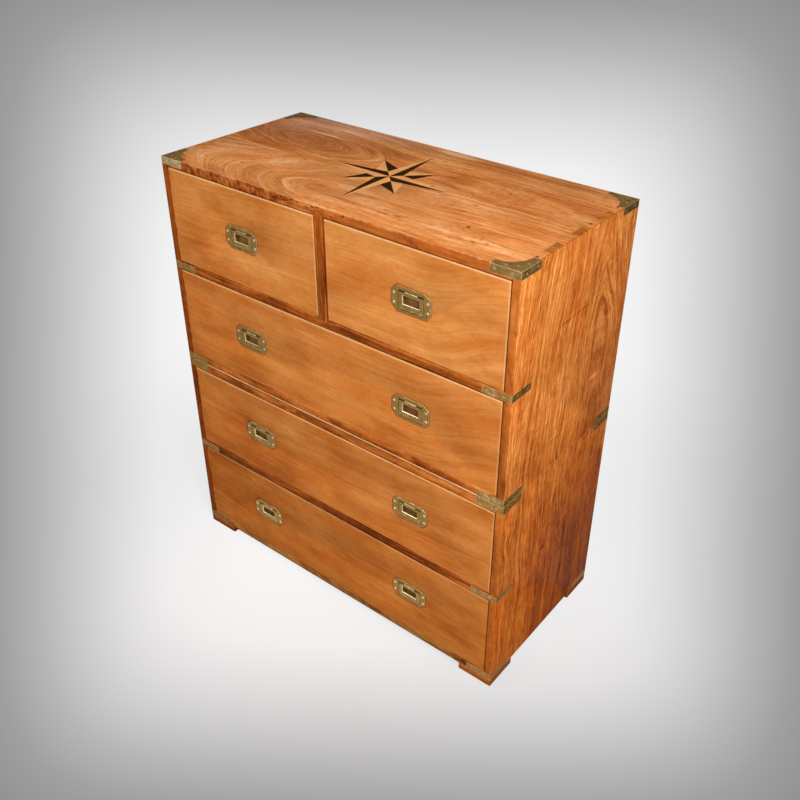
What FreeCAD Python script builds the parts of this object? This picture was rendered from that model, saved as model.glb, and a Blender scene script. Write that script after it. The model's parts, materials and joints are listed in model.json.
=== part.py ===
"""Campaign chest in two cases, with two short drawers over three long ones.

Millimetres. +X is the chest's right, -Y its front, +Z up. The origin is on the floor, under the
middle of the chest. The upper case stands on the lower one and lifts off four pegs.
"""
import FreeCAD, Part
import os

import Sketcher
from FreeCAD import Placement, Rotation, Vector

SIZES = (
    # The two cases
    ("chest_width", 960, "across the front"),
    ("chest_depth", 450, "front to back"),
    ("side_thickness", 19, "the four side boards"),
    ("board_thickness", 22, "the top, and the two boards that meet at the joint"),
    ("base_thickness", 20, "bottom board of the lower case"),
    ("back_thickness", 10, "back boards"),
    ("rebate_width", 10, "how far the back boards reach over the frame round them"),
    ("back_board_height", 150, "a back board, before the last one is cut to fit"),
    ("foot_height", 19, "block feet"),
    ("foot_length", 90, "block feet, both ways"),
    # Drawer openings, from the top down
    ("top_row_height", 231, "opening of the two short drawers"),
    ("second_row_height", 231, "opening of the long drawer in the upper case"),
    ("third_row_height", 230, "opening of the upper drawer in the lower case"),
    ("bottom_row_height", 229, "opening of the bottom drawer"),
    # Rails, divider and runners
    ("rail_thickness", 22, "front rails, and the runners behind them"),
    ("rail_depth", 60, "front rails, front to back"),
    ("divider_thickness", 27, "upright between the short drawers"),
    ("housing_depth", 6, "how far a rail or the divider is let into its neighbour"),
    ("runner_width", 30, "runner at each side"),
    ("centre_runner_width", 77, "runner under both short drawers"),
    ("guide_height", 25, "strip between the short drawers"),
    # Dovetails of the cases
    ("end_pin_width", 48, "pin at the front and back corners, outside"),
    ("pin_width", 46, "the other pins, outside"),
    ("pin_pitch", 100, "from one pin to the next"),
    ("pin_flare", 3, "how much each cheek of a pin runs out towards the inside"),
    ("side_lap", 3, "what a side keeps outside the ends of the boards between the sides"),
    # Pegs of the joint
    ("peg_radius", 8, "pegs between the cases"),
    ("peg_height", 12, "above the joint"),
    ("peg_seat", 15, "below the joint"),
    ("peg_inset", 60, "from the outside of the case, both ways"),
    ("peg_clearance", 0.5, "round and above the peg in its hole"),
    # Drawers
    ("drawer_gap", 1, "round each drawer front"),
    ("drawer_setback", 0.8, "drawer fronts behind the face of the case"),
    ("drawer_front_thickness", 20, "drawer fronts"),
    ("drawer_arris", 1.2, "rounding round a drawer front"),
    ("drawer_side_thickness", 12, "drawer sides"),
    ("drawer_back_thickness", 10, "drawer backs"),
    ("drawer_bottom_thickness", 8, "drawer bottoms"),
    ("bottom_height", 12, "from a drawer side's lower edge to the bottom's groove"),
    ("groove_depth", 5, "grooves that hold a drawer bottom"),
    ("side_drop", 4, "drawer sides below the top of the opening"),
    ("back_drop", 15, "drawer backs below the drawer sides"),
    ("drawer_back_gap", 8, "behind a closed drawer"),
    ("tail_length", 14, "drawer dovetails, the rest of the front is the lap"),
    ("tail_width", 32, "drawer dovetails at the root"),
    ("tail_flare", 3, "how much each cheek of a tail runs out towards its end"),
    ("tail_pitch", 54, "from one tail to the next"),
    # Brass on the cases
    ("brass_thickness", 2, "caps and straps"),
    ("cap_length", 67, "top corner caps, along each edge"),
    ("cap_height", 17, "top corner caps, down each face"),
    ("cap_arc_radius", 50, "curved inner edge of a cap"),
    ("strap_length", 68, "straps, along each face"),
    ("rail_strap_height", 17, "straps at the rails and the base"),
    ("joint_strap_height", 18, "straps at the joint"),
    ("joint_strap_gap", 1, "straps at the joint, from the joint itself"),
    ("base_strap_rise", 1, "base straps above the lower edge of the case"),
    ("screw_near", 18, "first screw of a flange, from the corner"),
    ("screw_far", 56, "second screw of a flange, from the corner"),
    ("cap_screw_reach", 38, "screws in the arms of a cap's top plate, from the corner"),
    # Screws
    ("screw_head_radius", 3, "countersunk heads"),
    ("screw_head_depth", 1.6, "countersunk heads"),
    ("screw_shank_radius", 1.4, "shanks"),
    ("screw_length", 12, "whole screw"),
    # Handle plates
    ("plate_length", 98, "handle plates, across"),
    ("plate_height", 56, "handle plates, up and down"),
    ("plate_thickness", 3.2, "handle plates"),
    ("plate_stand", 0.8, "handle plates proud of the drawer front"),
    ("plate_corner_run", 16, "cut corners of a plate, across"),
    ("plate_corner_rise", 12, "cut corners of a plate, up and down"),
    ("plate_corner_radius", 6, "rounding of a plate's corners"),
    ("plate_bevel", 0.8, "bevel round a plate"),
    ("plate_screw_x", 42, "plate screws, from the middle"),
    ("plate_screw_z", 10.5, "plate screws, from the middle"),
    ("pan_depth", 13, "finger pan behind the plate's face, with its floor"),
    ("pan_wall", 1.5, "walls and floor of the pan"),
    ("ledge_height", 3, "ledge at the pan's lower edge, which the bail rests on"),
    ("ledge_gap", 0.3, "bail to ledge"),
    # Bails
    ("bail_width", 60, "bail, across"),
    ("bail_thickness", 3, "bail"),
    ("bail_top_bar", 9, "bail above the grip hole"),
    ("bail_bottom_bar", 12, "bail below the grip hole"),
    ("grip_width", 41, "grip hole"),
    ("grip_height", 18, "grip hole"),
    ("grip_bevel", 1, "bevel round the grip hole"),
    ("bail_bevel", 0.4, "bevel round the lower edges of a bail"),
    ("bail_gap", 0.4, "round the bail in its plate"),
    ("trunnion_radius", 0.9, "pivots at the ends of the bail's top edge"),
    ("trunnion_length", 2, "pivots, past the bail's opening"),
    ("trunnion_clearance", 0.2, "round and beyond each pivot"),
    ("hinge_notch_width", 14, "notches in the plate over the bail's corners"),
    ("hinge_notch_height", 1.2, "notches in the plate over the bail's corners"),
    # Compass star in the top
    ("inlay_depth", 2, "star, let into the top"),
    ("star_point", 157, "main points, from the middle"),
    ("star_shoulder", 21, "corner between two main points, both ways from the middle"),
    ("star_diagonal", 105, "diagonal points, from the middle"),
    ("star_diagonal_shoulder", 44, "where a diagonal point's edge would meet a main axis"),
)

# Levels and faces that follow from the sizes
PLACES = (
    ("half_width", "Sizes.chest_width / 2"),
    ("half_depth", "Sizes.chest_depth / 2"),
    ("inner_half_width", "half_width - Sizes.side_thickness"),
    ("back_face", "half_depth - Sizes.back_thickness"),
    ("bottom_row_floor", "Sizes.foot_height + Sizes.base_thickness"),
    ("lower_rail_floor", "bottom_row_floor + Sizes.bottom_row_height"),
    ("third_row_floor", "lower_rail_floor + Sizes.rail_thickness"),
    ("lower_top_floor", "third_row_floor + Sizes.third_row_height"),
    ("joint_level", "lower_top_floor + Sizes.board_thickness"),
    ("second_row_floor", "joint_level + Sizes.board_thickness"),
    ("upper_rail_floor", "second_row_floor + Sizes.second_row_height"),
    ("top_row_floor", "upper_rail_floor + Sizes.rail_thickness"),
    ("top_board_floor", "top_row_floor + Sizes.top_row_height"),
    ("chest_height", "top_board_floor + Sizes.board_thickness"),
    ("drawer_face", "Sizes.drawer_setback - half_depth"),
    ("drawer_front_back", "drawer_face + Sizes.drawer_front_thickness"),
    ("drawer_end", "back_face - Sizes.drawer_back_gap"),
    ("handle_x", "(inner_half_width + Sizes.divider_thickness / 2) / 2"),
    ("half_opening_width", "Sizes.bail_width / 2 + Sizes.bail_gap"),
    ("bail_top", "Sizes.grip_height / 2 + Sizes.bail_top_bar"),
    ("bail_bottom", "-Sizes.grip_height / 2 - Sizes.bail_bottom_bar"),
    ("opening_top", "bail_top + Sizes.bail_gap"),
    ("opening_bottom", "bail_bottom - Sizes.bail_gap"),
    ("pivot_depth", "Sizes.bail_thickness / 2"),
    ("pivot_height", "bail_top - pivot_depth"),
    ("star_tip", "Sizes.star_diagonal / sqrt(2)"),
    ("star_slope", "(Sizes.star_point - Sizes.star_shoulder) / Sizes.star_shoulder"),
    ("star_rise", "(star_tip - Sizes.star_diagonal_shoulder) / star_tip"),
    ("star_notch_x", "(Sizes.star_point - Sizes.star_diagonal_shoulder) / (star_slope + star_rise)"),
    ("star_notch_y", "Sizes.star_point - star_slope * star_notch_x"),
)

INSIDE_LEFT = "-Places.inner_half_width"
INSIDE_RIGHT = "Places.inner_half_width"
DIVIDER_FACE = "Sizes.divider_thickness / 2"

# Name, left and right end of the opening, its row, and on which side of the middle its handles are
DRAWERS = (
    ("top_left_drawer", INSIDE_LEFT, f"-{DIVIDER_FACE}", "top_row", (("top_left_bail", -1),)),
    ("top_right_drawer", DIVIDER_FACE, INSIDE_RIGHT, "top_row", (("top_right_bail", 1),)),
    *(
        (f"{row}_drawer", INSIDE_LEFT, INSIDE_RIGHT, f"{row}_row",
         ((f"{row}_drawer_left_bail", -1), (f"{row}_drawer_right_bail", 1)))
        for row in ("second", "third", "bottom")
    ),
)

# How sketches outside a body stand: their x and y axes lie along the two named axes
FLAT = Rotation()
HEAD_FORWARD = Rotation(Vector(1, 0, 0), -90)
HEAD_RIGHT = Rotation(Vector(0, 1, 0), -90)
HEAD_UP = Rotation(Vector(1, 0, 0), 180)

doc = FreeCAD.newDocument("campaign_chest")
pieces = {}


# ---- The two sheets ----

def fill_sheet(name, rows):
    """A sheet with one alias, its value and what it is on each row."""
    sheet = doc.addObject("Spreadsheet::Sheet", name)
    for row, (alias, content, note) in enumerate(rows, start=1):
        sheet.set(f"A{row}", alias)
        sheet.set(f"B{row}", content)
        sheet.set(f"C{row}", note)
        sheet.setAlias(f"B{row}", alias)
    doc.recompute()
    return sheet


sizes = fill_sheet("Sizes", [(alias, str(size), note) for alias, size, note in SIZES])
fill_sheet("Places", [(alias, f"={formula}", "follows from the sizes") for alias, formula in PLACES])


def number(formula):
    """What a formula of the sheets comes to now."""
    return float(sizes.evalExpression(formula))


# ---- Building blocks, each bound to formulas of the sheets ----

def bind(thing, **formulas):
    for name, formula in formulas.items():
        thing.setExpression(name, formula)


def put(thing, x="0", y="0", z="0"):
    for axis, formula in zip("xyz", (x, y, z)):
        thing.setExpression(f".Placement.Base.{axis}", formula)


def block(name, corner, length, width, height):
    box = doc.addObject("Part::Box", name)
    bind(box, Length=length, Width=width, Height=height)
    put(box, *corner)
    return box


def group(name, things):
    result = doc.addObject("Part::Compound", name)
    result.Links = list(things)
    return result


def joined(name, things):
    result = doc.addObject("Part::MultiFuse", name)
    result.Shapes = list(things)
    result.Refine = False
    return result


def cut(name, base, *tools):
    """The base with each tool cut out of it in turn, and its flat faces whole again at the end."""
    for step, tool in enumerate(tools, start=1):
        last = step == len(tools)
        result = doc.addObject("Part::Cut", name if last else f"{name}_cut_{step}")
        result.Base = base
        result.Tool = tool
        result.Refine = last
        base = result
    return base


def mirrored(name, source, normal=Vector(1, 0, 0)):
    """The same piece on the other side of the chest's middle."""
    result = doc.addObject("Part::Mirroring", name)
    result.Source = source
    result.Normal = normal
    return result


def both_sides(name, source):
    return group(name, (source, mirrored(f"{name}_left", source)))


def four_corners(name, source):
    """The front right piece, and its copies at the other three corners."""
    front = both_sides(f"{name}_front", source)
    return group(name, (front, mirrored(f"{name}_back", front, Vector(0, 1, 0))))


def draw(sketch, polygons=(), circles=()):
    """Closed outlines and circles, each corner and centre held at its formulas."""
    def hold(kind, geometry, point, formula):
        label = f"{kind[-1].lower()}{geometry}_{point}"
        index = sketch.addConstraint(
            Sketcher.Constraint(kind, -1, 1, geometry, point, number(formula)))
        sketch.renameConstraint(index, label)
        sketch.setExpression(f"Constraints.{label}", formula)

    for polygon in polygons:
        first = sketch.GeometryCount
        corners = [Vector(number(x), number(y), 0) for x, y in polygon]
        for start, end in zip(corners, corners[1:] + corners[:1]):
            sketch.addGeometry(Part.LineSegment(start, end))
        for step, (x, y) in enumerate(polygon):
            following = first + (step + 1) % len(polygon)
            sketch.addConstraint(Sketcher.Constraint("Coincident", first + step, 2, following, 1))
            hold("DistanceX", first + step, 1, x)
            hold("DistanceY", first + step, 1, y)
    for x, y, radius in circles:
        centre = Vector(number(x), number(y), 0)
        index = sketch.addGeometry(Part.Circle(centre, Vector(0, 0, 1), number(radius)))
        hold("DistanceX", index, 3, x)
        hold("DistanceY", index, 3, y)
        rim = sketch.addConstraint(Sketcher.Constraint("Radius", index, number(radius)))
        sketch.renameConstraint(rim, f"radius{index}")
        sketch.setExpression(f"Constraints.radius{index}", radius)


def prism(name, polygons, length, rotation=FLAT, **place):
    """Straight-sided pieces on one sketch, pushed out along the sketch's own normal."""
    sketch = doc.addObject("Sketcher::SketchObject", f"{name}_outline")
    sketch.Placement = Placement(Vector(), rotation)
    put(sketch, **place)
    draw(sketch, polygons)
    result = doc.addObject("Part::Extrusion", name)
    result.Base = sketch
    result.DirMode = "Normal"
    result.Solid = True
    bind(result, LengthFwd=length)
    return result


def rectangle(left, right, low, high):
    return ((left, low), (right, low), (right, high), (left, high))


# ---- Features of a body ----

def new_body(name, **place):
    body = doc.addObject("PartDesign::Body", name)
    put(body, **place)
    return body


def body_sketch(body, name, plane, polygons=(), circles=()):
    sketch = body.newObject("Sketcher::SketchObject", f"{body.Name}_{name}_sketch")
    origin_plane = next(part for part in body.Origin.OriginFeatures if part.Role == plane)
    sketch.AttachmentSupport = [(origin_plane, "")]
    sketch.MapMode = "FlatFace"
    draw(sketch, polygons, circles)
    return sketch


def feature(body, kind, name, sketch, length, side="One side", reverse=False):
    """A pad or pocket: to one side of its sketch, or half to each side where it is symmetric."""
    made = body.newObject(f"PartDesign::{kind}", f"{body.Name}_{name}")
    made.Profile = sketch
    made.SideType = side
    made.Reversed = reverse
    bind(made, Length=length)


def pad_back(body, name, polygon, depth):
    """Material from the front plane of the body back to a depth."""
    sketch = body_sketch(body, name, "XZ_Plane", (polygon,))
    feature(body, "Pad", name, sketch, depth, reverse=True)


def pocket_back(body, name, polygons, depth):
    """A recess from the front plane of the body back to a depth."""
    sketch = body_sketch(body, name, "XZ_Plane", polygons)
    feature(body, "Pocket", name, sketch, depth)


def dress(body, kind, name, edges, **formulas):
    """A fillet or chamfer on edges of the body as it stands."""
    body.recompute(True)
    base = body.Tip
    names = [f"Edge{n}" for n, edge in enumerate(base.Shape.Edges, start=1) if edges(edge)]
    made = body.newObject(f"PartDesign::{kind}", f"{body.Name}_{name}")
    made.Base = (base, names)
    bind(made, **formulas)


NEAR = 1e-4


def lies_in_front_plane(edge):
    return abs(edge.BoundBox.YMin) < NEAR and abs(edge.BoundBox.YMax) < NEAR


def runs_along_y(edge):
    box = edge.BoundBox
    return box.XLength < NEAR and box.ZLength < NEAR and box.YLength > NEAR


def reaches(edge, half_width):
    return max(abs(edge.BoundBox.XMin), abs(edge.BoundBox.XMax)) > half_width + NEAR


# ---- Screws ----

def screw(name, rotation, x, y, z):
    """A countersunk screw with the middle of its head at the point."""
    head = doc.addObject("Part::Cone", f"{name}_head")
    bind(head, Radius1="Sizes.screw_head_radius", Radius2="Sizes.screw_shank_radius",
         Height="Sizes.screw_head_depth")
    shank = doc.addObject("Part::Cylinder", f"{name}_shank")
    bind(shank, Radius="Sizes.screw_shank_radius", Height="Sizes.screw_length")
    for thing in (head, shank):
        thing.Placement = Placement(Vector(), rotation)
        put(thing, x, y, z)
    return joined(name, (head, shank))


def flange_screws(name, height):
    """Two screws in the front flange and two in the side flange of a corner, at a height."""
    made = []
    for reach in ("near", "far"):
        distance = f"Sizes.screw_{reach}"
        made.append(screw(f"{name}_front_{reach}", HEAD_FORWARD,
                          f"Places.half_width - {distance}", "-Places.half_depth", height))
        made.append(screw(f"{name}_side_{reach}", HEAD_RIGHT,
                          "Places.half_width", f"{distance} - Places.half_depth", height))
    return made


# ---- Brass of the cases, front right corner ----

def brass_band(name, corners, piece, screws):
    """One kind of brass at all its corners: the pieces without their holes, and their screws."""
    return corners(f"{name}s", piece), corners(f"{name}_screws", group(f"{name}_screw_set", screws))


def strap_band(name, corners, floor, height):
    """Straps: an L of brass let in round each corner."""
    inset = "Sizes.strap_length - Sizes.brass_thickness"
    outer = block(f"{name}_outer", ("Places.half_width - Sizes.strap_length", "-Places.half_depth", floor),
                  "Sizes.strap_length", "Sizes.strap_length", height)
    inner = block(f"{name}_inner",
                  ("Places.half_width - Sizes.strap_length", "Sizes.brass_thickness - Places.half_depth",
                   floor), inset, inset, height)
    screws = flange_screws(f"{name}_screw", f"{floor} + {height} / 2")
    return brass_band(name, corners, cut(name, outer, inner), screws)


def rail_strap_band(name, rail_floor):
    floor = f"{rail_floor} + (Sizes.rail_thickness - Sizes.rail_strap_height) / 2"
    return strap_band(name, both_sides, floor, "Sizes.rail_strap_height")


def cap_band():
    """Caps over the top corners: two flanges and a top plate with a curved inner edge."""
    left = "Places.half_width - Sizes.cap_length"
    floor = "Places.chest_height - Sizes.cap_height"
    outer = block("cap_outer", (left, "-Places.half_depth", floor),
                  "Sizes.cap_length", "Sizes.cap_length", "Sizes.cap_height")
    inner = block("cap_inner", (left, "Sizes.brass_thickness - Places.half_depth", floor),
                  "Sizes.cap_length - Sizes.brass_thickness", "Sizes.cap_length - Sizes.brass_thickness",
                  "Sizes.cap_height - Sizes.brass_thickness")
    arc = doc.addObject("Part::Cylinder", "cap_arc")
    bind(arc, Radius="Sizes.cap_arc_radius", Height="Sizes.cap_height")
    put(arc, left, "Sizes.cap_length - Places.half_depth", floor)
    arm = "(Sizes.cap_length - Sizes.cap_arc_radius) / 2"
    top = "Places.chest_height"
    screws = flange_screws("cap_screw", f"{top} - Sizes.cap_height / 2")
    for spot, x, y in (("corner", "Sizes.screw_near", "Sizes.screw_near"),
                       ("front", "Sizes.cap_screw_reach", arm), ("side", arm, "Sizes.cap_screw_reach")):
        screws.append(screw(f"cap_screw_top_{spot}", HEAD_UP,
                            f"Places.half_width - {x}", f"{y} - Places.half_depth", top))
    return brass_band("cap", four_corners, cut("cap", outer, inner, arc), screws)


def with_holes(bands):
    """The brass of some bands with its screw holes."""
    return [cut(f"{brass.Name}_drilled", brass, screws) for brass, screws in bands]


def all_screws(bands):
    return [screws for brass, screws in bands]


# ---- Cases ----

def dovetail_pins(name, floor, height):
    """The pins of the right side that stand in the end of a board, front to back."""
    inner = "Places.half_width - Sizes.side_thickness"
    outer = "Places.half_width - Sizes.side_lap"

    def pin(front, back, front_flare, back_flare):
        return ((outer, front), (outer, back), (inner, f"{back} + {back_flare}"),
                (inner, f"{front} - {front_flare}"))

    span = number("Sizes.chest_depth - 2 * Sizes.end_pin_width - Sizes.pin_width")
    count = int(span // number("Sizes.pin_pitch"))
    pins = [
        pin("-Places.half_depth", "Sizes.end_pin_width - Places.half_depth", "0", "Sizes.pin_flare"),
        pin("Places.half_depth - Sizes.end_pin_width", "Places.half_depth", "Sizes.pin_flare", "0"),
    ]
    for step in range(count):
        middle = f"{step - (count - 1) / 2} * Sizes.pin_pitch"
        pins.append(pin(f"{middle} - Sizes.pin_width / 2", f"{middle} + Sizes.pin_width / 2",
                        "Sizes.pin_flare", "Sizes.pin_flare"))
    return both_sides(name, prism(f"{name}_right", pins, height, z=floor))


def dovetailed_board(name, floor, height):
    """A board from lap to lap, with the sides' pins cut out of its ends."""
    blank = block(f"{name}_blank", ("Sizes.side_lap - Places.half_width", "-Places.half_depth", floor),
                  "Sizes.chest_width - 2 * Sizes.side_lap", "Sizes.chest_depth", height)
    return cut(f"{name}_dovetailed", blank, dovetail_pins(f"{name}_pins", floor, height))


def back_planks(name, floor, top):
    """Planks laid one above another in the rebate, the last one as high as what is left."""
    low = f"{floor} - Sizes.rebate_width"
    high = f"{top} + Sizes.rebate_width"
    count = max(1, round(number(f"({high} - ({low})) / Sizes.back_board_height")))
    width = "2 * (Places.inner_half_width + Sizes.rebate_width)"
    planks = []
    for step in range(count):
        start = f"{low} + {step} * Sizes.back_board_height"
        height = "Sizes.back_board_height" if step < count - 1 else f"{high} - ({start})"
        planks.append(block(f"{name}_{step}",
                            ("-Places.inner_half_width - Sizes.rebate_width", "Places.back_face", start),
                            width, "Sizes.back_thickness", height))
    return group(name, planks)


def rail(name, floor):
    """A front rail, let into both sides."""
    return block(f"{name}_blank",
                 ("-Places.inner_half_width - Sizes.housing_depth", "-Places.half_depth", floor),
                 "2 * (Places.inner_half_width + Sizes.housing_depth)", "Sizes.rail_depth",
                 "Sizes.rail_thickness")


def runners(name, floor, centre=False):
    """Runners from a rail to the back boards."""
    start = "Sizes.rail_depth - Places.half_depth"
    length = f"Places.back_face - ({start})"
    right = block(f"{name}_right", ("Places.inner_half_width - Sizes.runner_width", start, floor),
                  "Sizes.runner_width", length, "Sizes.rail_thickness")
    made = [right, mirrored(f"{name}_left", right)]
    if centre:
        made.append(block(f"{name}_centre", ("-Sizes.centre_runner_width / 2", start, floor),
                          "Sizes.centre_runner_width", length, "Sizes.rail_thickness"))
    return group(name, made)


def side(name, floor, height, tools):
    """The right side of a case with its pins, and its mirror image."""
    blank = block(f"{name}_side_blank", ("Places.inner_half_width", "-Places.half_depth", floor),
                  "Sizes.side_thickness", "Sizes.chest_depth", height)
    right = cut(f"{name}_right_side", blank, *tools)
    return {f"{name}_right_side": right, f"{name}_left_side": mirrored(f"{name}_left_side", right)}


def pegs(name, clearance):
    """Four pegs across the joint, or the holes that they need."""
    peg = doc.addObject("Part::Cylinder", f"{name}_front_right")
    bind(peg, Radius=f"Sizes.peg_radius + {clearance}",
         Height=f"Sizes.peg_seat + Sizes.peg_height + {clearance}")
    put(peg, "Places.half_width - Sizes.peg_inset", "Sizes.peg_inset - Places.half_depth",
        "Places.joint_level - Sizes.peg_seat")
    return four_corners(name, peg)


def star_half_points(name, hand):
    """Eight half points of one wood. hand 1 lies clockwise of each point's axis, -1 the other way."""
    def turned(x, y, quarter):
        return ((x, y), (f"-({y})", x), (f"-({x})", f"-({y})"), (y, f"-({x})"))[quarter]

    shoulder = "Sizes.star_shoulder"
    notch = ("Places.star_notch_x", "Places.star_notch_y")
    main = (("0", "0"), ("0", "Sizes.star_point"), (f"{hand} * {shoulder}", shoulder))
    edge = notch if hand < 0 else notch[::-1]
    diagonal = ((shoulder, shoulder), ("Places.star_tip", "Places.star_tip"), edge)
    outlines = [[turned(x, y, quarter) for x, y in triangle]
                for quarter in range(4) for triangle in (main, diagonal)]
    return prism(name, outlines, "Sizes.inlay_depth", z="Places.chest_height - Sizes.inlay_depth")


def lower_case():
    base = dovetailed_board("base", "Sizes.foot_height", "Sizes.base_thickness")
    top = dovetailed_board("lower_top", "Places.lower_top_floor", "Sizes.board_thickness")
    back = back_planks("lower_plank", "Places.bottom_row_floor", "Places.lower_top_floor")
    front_rail = rail("lower_rail", "Places.lower_rail_floor")
    foot = block("foot", ("Places.half_width - Sizes.foot_length", "-Places.half_depth", "0"),
                 "Sizes.foot_length", "Sizes.foot_length", "Sizes.foot_height")
    peg_set = pegs("peg", "0")

    rail_band = rail_strap_band("lower_rail_strap", "Places.lower_rail_floor")
    joint_band = strap_band("lower_joint_strap", four_corners,
                            "Places.joint_level - Sizes.joint_strap_gap - Sizes.joint_strap_height",
                            "Sizes.joint_strap_height")
    base_band = strap_band("base_strap", four_corners, "Sizes.foot_height + Sizes.base_strap_rise",
                           "Sizes.rail_strap_height")
    bands = (rail_band, joint_band, base_band)

    pieces.update(side("lower", "Sizes.foot_height", "Places.joint_level - Sizes.foot_height",
                       (base, top, back, front_rail, *rail_band, *joint_band, *base_band)))
    pieces["base_board"] = cut("base_board", base, back, *base_band)
    pieces["lower_top_board"] = cut("lower_top_board", top, back, peg_set, *joint_band)
    pieces["lower_back_boards"] = cut("lower_back_boards", back, *joint_band, *base_band)
    pieces["lower_drawer_rail"] = cut("lower_drawer_rail", front_rail, *rail_band)
    pieces["lower_drawer_runners"] = runners("lower_drawer_runners", "Places.lower_rail_floor")
    pieces["feet"] = four_corners("feet", foot)
    pieces["locating_pegs"] = peg_set
    pieces["lower_straps"] = group("lower_straps", with_holes(bands))
    pieces["lower_brass_screws"] = group("lower_brass_screws", all_screws(bands))


def upper_case():
    bottom = dovetailed_board("upper_bottom", "Places.joint_level", "Sizes.board_thickness")
    top = dovetailed_board("top", "Places.top_board_floor", "Sizes.board_thickness")
    back = back_planks("upper_plank", "Places.second_row_floor", "Places.top_board_floor")
    front_rail = rail("upper_rail", "Places.upper_rail_floor")
    divider = block("centre_divider",
                    ("-Sizes.divider_thickness / 2", "-Places.half_depth",
                     "Places.top_row_floor - Sizes.housing_depth"),
                    "Sizes.divider_thickness", "Sizes.rail_depth",
                    "Sizes.top_row_height + 2 * Sizes.housing_depth")
    guide = block("drawer_guide",
                  ("-Sizes.divider_thickness / 2", "Sizes.rail_depth - Places.half_depth",
                   "Places.top_row_floor"),
                  "Sizes.divider_thickness", "Places.back_face + Places.half_depth - Sizes.rail_depth",
                  "Sizes.guide_height")
    ebony = star_half_points("star_ebony", 1)
    boxwood = star_half_points("star_boxwood", -1)

    caps = cap_band()
    rail_band = rail_strap_band("upper_rail_strap", "Places.upper_rail_floor")
    joint_band = strap_band("upper_joint_strap", four_corners,
                            "Places.joint_level + Sizes.joint_strap_gap", "Sizes.joint_strap_height")

    pieces.update(side("upper", "Places.joint_level", "Places.chest_height - Places.joint_level",
                       (bottom, top, back, front_rail, *caps, *rail_band, *joint_band)))
    pieces["top_board"] = cut("top_board", top, back, divider, ebony, boxwood, *caps)
    pieces["upper_bottom_board"] = cut("upper_bottom_board", bottom, back,
                                       pegs("peg_hole", "Sizes.peg_clearance"), *joint_band)
    pieces["upper_back_boards"] = cut("upper_back_boards", back, *caps, *joint_band)
    pieces["upper_drawer_rail"] = cut("upper_drawer_rail", front_rail, divider, *rail_band)
    pieces["centre_divider"] = divider
    pieces["upper_drawer_runners"] = runners("upper_drawer_runners", "Places.upper_rail_floor", centre=True)
    pieces["drawer_guide"] = guide
    pieces["star_ebony"] = ebony
    pieces["star_boxwood"] = boxwood
    pieces["top_corner_caps"] = group("top_corner_caps", with_holes((caps,)))
    pieces["upper_straps"] = group("upper_straps", with_holes((rail_band, joint_band)))
    pieces["upper_brass_screws"] = group("upper_brass_screws", all_screws((caps, rail_band, joint_band)))


# ---- Handles ----

def handle_place(hand, row):
    return {"x": f"{hand} * Places.handle_x", "y": "Places.drawer_face - Sizes.plate_stand",
            "z": f"Places.{row}_floor + Sizes.{row}_height / 2"}


def handle_casting(name, place):
    """The outer shape of a plate with its pan. It is also the seat that the drawer front needs."""
    body = new_body(name, **place)
    x, z = "Sizes.plate_length / 2", "Sizes.plate_height / 2"
    run, rise = f"{x} - Sizes.plate_corner_run", f"{z} - Sizes.plate_corner_rise"
    outline = ((run, f"-{z}"), (x, f"-({rise})"), (x, rise), (run, z),
               (f"-({run})", z), (f"-{x}", rise), (f"-{x}", f"-({rise})"), (f"-({run})", f"-{z}"))
    pad_back(body, "plate", outline, "Sizes.plate_thickness")
    dress(body, "Fillet", "rounding", runs_along_y, Radius="Sizes.plate_corner_radius")
    pan_x = "Places.half_opening_width + Sizes.pan_wall"
    pan = rectangle(f"-({pan_x})", pan_x, "Places.opening_bottom - Sizes.pan_wall",
                    "Places.opening_top + Sizes.pan_wall")
    pad_back(body, "pan", pan, "Sizes.pan_depth")
    return body


def handle_plate(name, place):
    """Plate and pan in one casting, with the bail's opening, its pivot holes and a ledge."""
    body = handle_casting(name, place)
    dress(body, "Chamfer", "bevel", lies_in_front_plane, Size="Sizes.plate_bevel")
    half_width = "Places.half_opening_width"
    opening = rectangle(f"-{half_width}", half_width, "Places.opening_bottom", "Places.opening_top")
    pocket_back(body, "opening", (opening,), "Sizes.bail_thickness + Sizes.ledge_gap")
    hollow = rectangle(f"-{half_width}", half_width, "Places.opening_bottom + Sizes.ledge_height",
                       "Places.opening_top")
    pocket_back(body, "hollow", (hollow,), "Sizes.pan_depth - Sizes.pan_wall")
    notch_end = f"{half_width} - Sizes.hinge_notch_width"
    notch_top = "Places.opening_top + Sizes.hinge_notch_height"
    notches = (rectangle(notch_end, half_width, "Places.opening_top", notch_top),
               rectangle(f"-{half_width}", f"-({notch_end})", "Places.opening_top", notch_top))
    pocket_back(body, "notches", notches, "Places.pivot_depth")
    pivot = body_sketch(body, "pivot", "YZ_Plane", circles=(
        ("Places.pivot_depth", "Places.pivot_height", "Sizes.trunnion_radius + Sizes.trunnion_clearance"),))
    length = f"2 * ({half_width} + Sizes.trunnion_length + Sizes.trunnion_clearance)"
    feature(body, "Pocket", "pivot", pivot, length, side="Symmetric")
    return body


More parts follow.
